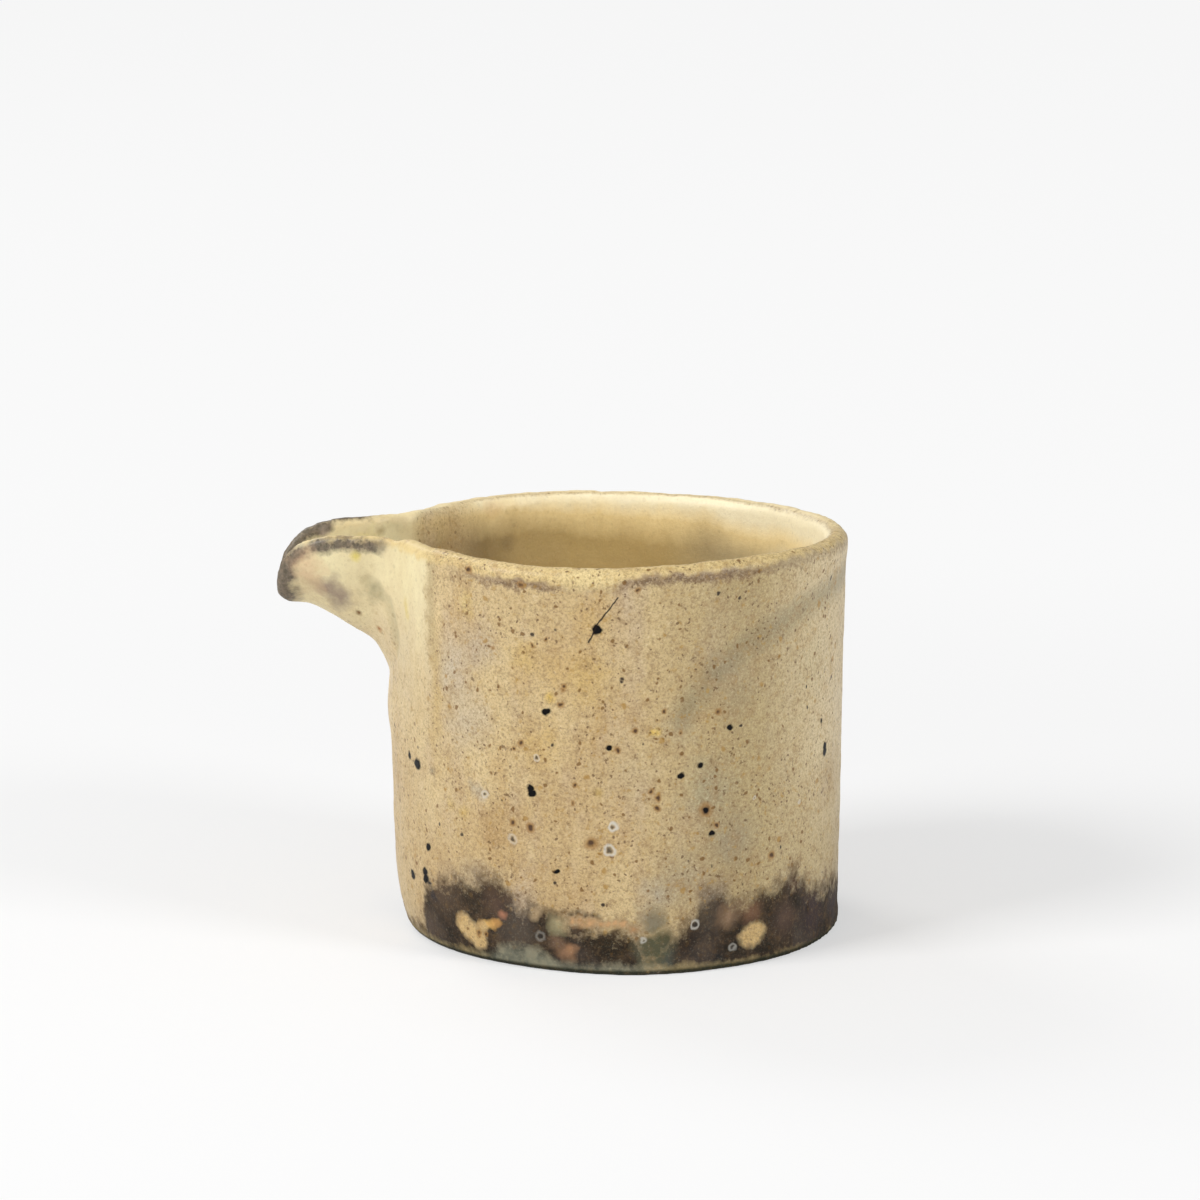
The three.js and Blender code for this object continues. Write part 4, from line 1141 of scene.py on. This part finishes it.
# Bare fired stoneware on the underside: dry, toasted and gritty.
def bareClay():
    material, tree = newMaterial("Bare fired stoneware")
    spot = add(tree, "ShaderNodeTexCoord").outputs["Object"]
    toast = add(tree, "ShaderNodeTexNoise", spot, 1000 / 14, 3.0, 0.55)
    grit = add(tree, "ShaderNodeTexNoise", spot, 1000 / 0.7, 4.0, 0.7)
    colour = layer(tree, "#b0906a", "#8f6c4c", (toast, 0.35, 0.65))
    colour = layer(tree, colour, "#5e4632", (grit, 0.55, 0.75, 0.0, 0.7))
    radius = add(tree, "ShaderNodeVectorMath", spot, (1, 1, 0), operation="MULTIPLY")
    radius = add(tree, "ShaderNodeVectorMath", radius, operation="LENGTH").outputs["Value"]
    radius = add(tree, "ShaderNodeMath", toast, 0.002, radius, operation="MULTIPLY_ADD")
    colour = layer(tree, colour, darkGlazeAndContactShadow, (radius, 0.0311, 0.0315))  # the glaze creeps under the foot
    relief = add(tree, "ShaderNodeBump", 0.6, 0.0002, sockets={"Height": grit})
    clay = add(tree, "ShaderNodeBsdfPrincipled", sockets={
        "Base Color": colour, "Roughness": 0.85, "IOR": 1.45, "Normal": relief})
    add(tree, "ShaderNodeOutputMaterial", clay)
    return material


glaze = stonewareGlaze()
clay = bareClay()
print("glazes made")

runTree(skin, glazeTree, {**inMetres(glazeRelief), "Fold": foldGuide, "Material": glaze})
print("glaze skin raised", len(skin.data.polygons), "faces")

# Zones that divide the one skin into the pieces of clay it was built from.
zones = {
    "reach": 60,  # well clear of the pot
    "below": -4,
    "above": 84,
    "slabBelow": -3,
    "toeOut": 1.1,  # how far the coil's inner edge lies outside the flat of the floor
    "toeTop": 7.6,
    "coilRise": 3.0,
    "coilInWall": 0.4,
    "spoutGrow": 1.3,
    "spoutOver": 5.0,
    "collarInWall": 0.5,
    "bend": 34,  # the radius round which the collar's outline is wrapped
    "from": -60,  # x, as is the next
    "to": -18,
}
slabTop = pot["slab"]
coilTop = slabTop + zones["coilRise"]
toe = insideRadius(slabTop) - pot["cornerWipe"] + zones["toeOut"]
slabZone = turnedByHand("slab zone", [
    (0, zones["slabBelow"]), (zones["reach"], zones["slabBelow"]), (zones["reach"], slabTop), (toe, slabTop),
    (toe, zones["toeTop"]), (0, zones["toeTop"])])
coilZone = turnedByHand("coil zone", [
    (toe, slabTop), (insideRadius(slabTop) + zones["coilInWall"], slabTop),
    (insideRadius(coilTop) + zones["coilInWall"], coilTop), (toe, coilTop), (toe, slabTop)])


def envelope(name, out):
    heights = np.linspace(0, pot["rimHeight"] - pot["rimCrown"], 60)
    side = [(outsideRadius(z) + out, z) for z in heights]
    low, high = zones["below"], zones["above"]
    return turnedByHand(name, [(0, low), (side[0][0], low), *side, (side[-1][0], high), (0, high)])


# The smeared collar's outline on the wall, a rounded shield: squarer above its middle than below.
collar = {
    "halfWidth": 20.4,
    "top": 57.0,
    "middle": 45.0,
    "bottom": 29.0,
    "sideSquareness": 0.75,
    "topSquareness": 0.45,
    "bottomSquareness": 0.9,
    "steps": 72,
}


def collarZone():
    outline = []
    for i in range(collar["steps"]):
        turn = 2 * math.pi * i / collar["steps"]
        cosine, sine = math.cos(turn), math.sin(turn)
        end = "top" if sine > 0 else "bottom"
        span = abs(collar[end] - collar["middle"])
        across = collar["halfWidth"] * math.copysign(abs(cosine) ** collar["sideSquareness"], cosine)
        up = span * math.copysign(abs(sine) ** collar[end + "Squareness"], sine)
        outline.append((across, collar["middle"] + up))
    bend = zones["bend"]
    return loft("collar zone", [[np.array((x, -bend * math.sin(a / bend), z)) for a, z in outline]
                                for x in (zones["from"], zones["to"])])


spoutZone = spoutSolid("spout zone", lambda f: outsideSection(f, zones["spoutGrow"], zones["spoutOver"]))
cut(spoutZone, envelope("wall face", 0.0), "DIFFERENCE")
wallPiece = copyOf(skin, "wall")
slabPiece = cut(copyOf(skin, "base"), slabZone, "INTERSECT")
coilPiece = cut(copyOf(skin, "corner"), coilZone, "INTERSECT")
spoutPiece = cut(copyOf(skin, "spout"), spoutZone, "INTERSECT")
shield = collarZone()
cut(shield, envelope("under face", -zones["collarInWall"]), "DIFFERENCE")
cut(shield, spoutZone, "DIFFERENCE")
collarPiece = cut(copyOf(skin, "collar"), shield, "INTERSECT")
for zone in (slabZone, coilZone, spoutZone, shield):
    cut(wallPiece, zone, "DIFFERENCE")


# Cuts that share a face leave loose flakes there, so only a piece's largest connected part is kept.
def dropFlakes(piece):
    mesh = bmesh.new()
    mesh.from_mesh(piece.data)
    left = set(mesh.verts)
    parts = []
    while left:
        part = {left.pop()}
        front = set(part)
        while front:
            front = {edge.other_vert(point) for point in front for edge in point.link_edges} - part
            part |= front
        left -= part
        parts.append(part)
    parts.sort(key=len)
    bmesh.ops.delete(mesh, geom=[point for part in parts[:-1] for point in part], context="VERTS")
    mesh.to_mesh(piece.data)
    mesh.free()


pieces = {
    "stoneware_wall": (wallPiece, "body_wall", "wall_glaze"),
    "stoneware_base": (slabPiece, "base_slab", "foot_glaze"),
    "stoneware_corner": (coilPiece, "corner_coil", "coil_glaze"),
    "stoneware_spout": (spoutPiece, "spout", "spout_glaze"),
    "stoneware_collar": (collarPiece, "spout_collar", "collar_glaze"),
}
for name, (piece, cadNode, slot) in pieces.items():
    piece.name = name
    dropFlakes(piece)
    runTree(piece, guideTree, {**guides, "Material": glaze})
    carry = piece.modifiers.new("carry the skin's shading", "DATA_TRANSFER")
    carry.object = skin
    carry.use_loop_data = True
    carry.data_types_loops = {"CUSTOM_NORMAL"}
    carry.loop_mapping = "POLYINTERP_NEAREST"
    settle(piece)
    piece.data.name = name
    piece.data.materials.clear()
    piece.data.materials.append(glaze)
    if piece is slabPiece:
        piece.data.materials.append(clay)
        for face in piece.data.polygons:
            if face.normal.z < -0.9 and face.center.z < 0.5 * mm:
                face.material_index = 1
    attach(piece, "root")
    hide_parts(cadNode)
    print(name, len(piece.data.polygons), "faces")

kept = {p for p, _, _ in pieces.values()} | set(frame["nodes"].values()) | set(frame["bodies"].values())
for helper in [o for o in bpy.data.objects if o not in kept and o.type == "MESH"]:
    bpy.data.objects.remove(helper)

# Camera: fitted to the photograph's outline.
view = {
    "elevation": 11.87,
    "distance": 0.8,
    "target": Vector((-0.0037, 0, 0.048)),
    "lens": 163.5,
    "sensor": 36,
}
tilt = math.radians(view["elevation"])
camera = newObject("camera", bpy.data.cameras.new("camera"))
camera.data.sensor_width = view["sensor"]
camera.data.lens = view["lens"]
camera.location = view["target"] + view["distance"] * Vector((0, -math.cos(tilt), math.sin(tilt)))
camera.rotation_euler = (math.pi / 2 - tilt, 0, 0)
bpy.context.scene.camera = camera

# White paper that keeps the jug's shadow, and lifts towards white for the camera.
floor = newObject("floor", bpy.data.meshes.new("floor"))
floor.data.from_pydata([(-3, -3, 0), (3, -3, 0), (3, 3, 0), (-3, 3, 0)], [], [(0, 1, 2, 3)])
paper, paperTree = newMaterial("White paper")
sheet = add(paperTree, "ShaderNodeBsdfDiffuse", (0.88, 0.88, 0.88, 1))
glow = add(paperTree, "ShaderNodeEmission", (1.0, 1.0, 1.0, 1), 0.955)
path = add(paperTree, "ShaderNodeLightPath")
spread = add(paperTree, "ShaderNodeTexCoord").outputs["Object"]
spread = add(paperTree, "ShaderNodeVectorMath", spread, operation="LENGTH").outputs["Value"]
spread = add(paperTree, "ShaderNodeMapRange", spread, 0.06, 0.3, 0.48, 0.94, interpolation_type="SMOOTHSTEP")
seen = add(paperTree, "ShaderNodeMath", path.outputs["Is Camera Ray"], spread, operation="MULTIPLY")
mixed = add(paperTree, "ShaderNodeMixShader", seen, sheet, glow)
add(paperTree, "ShaderNodeOutputMaterial", mixed)
floor.data.materials.append(paper)

world = bpy.data.worlds.new("studio")
bpy.context.scene.world = world
world.use_nodes = True
background = world.node_tree.nodes["Background"].inputs
background["Color"].default_value = (1, 1, 1, 1)
background["Strength"].default_value = 0.34

lamps = {
    "window": {"place": (-0.75, -0.45, 0.75), "size": 0.42, "power": 8.6},
    "second window": {"place": (0.8, -0.5, 0.5), "size": 0.3, "power": 4.4},
    "back window": {"place": (-0.5, 0.7, 0.75), "size": 0.4, "power": 3.0},
}
middle = Vector((0, 0, 0.03))
for name, lamp in lamps.items():
    light = bpy.data.lights.new(name, "AREA")
    light.size = lamp["size"]
    light.energy = lamp["power"]
    holder = newObject(name, light)
    holder.location = lamp["place"]
    holder.rotation_euler = (middle - Vector(lamp["place"])).to_track_quat("-Z", "Y").to_euler()

bpy.context.scene.view_settings.view_transform = "Standard"
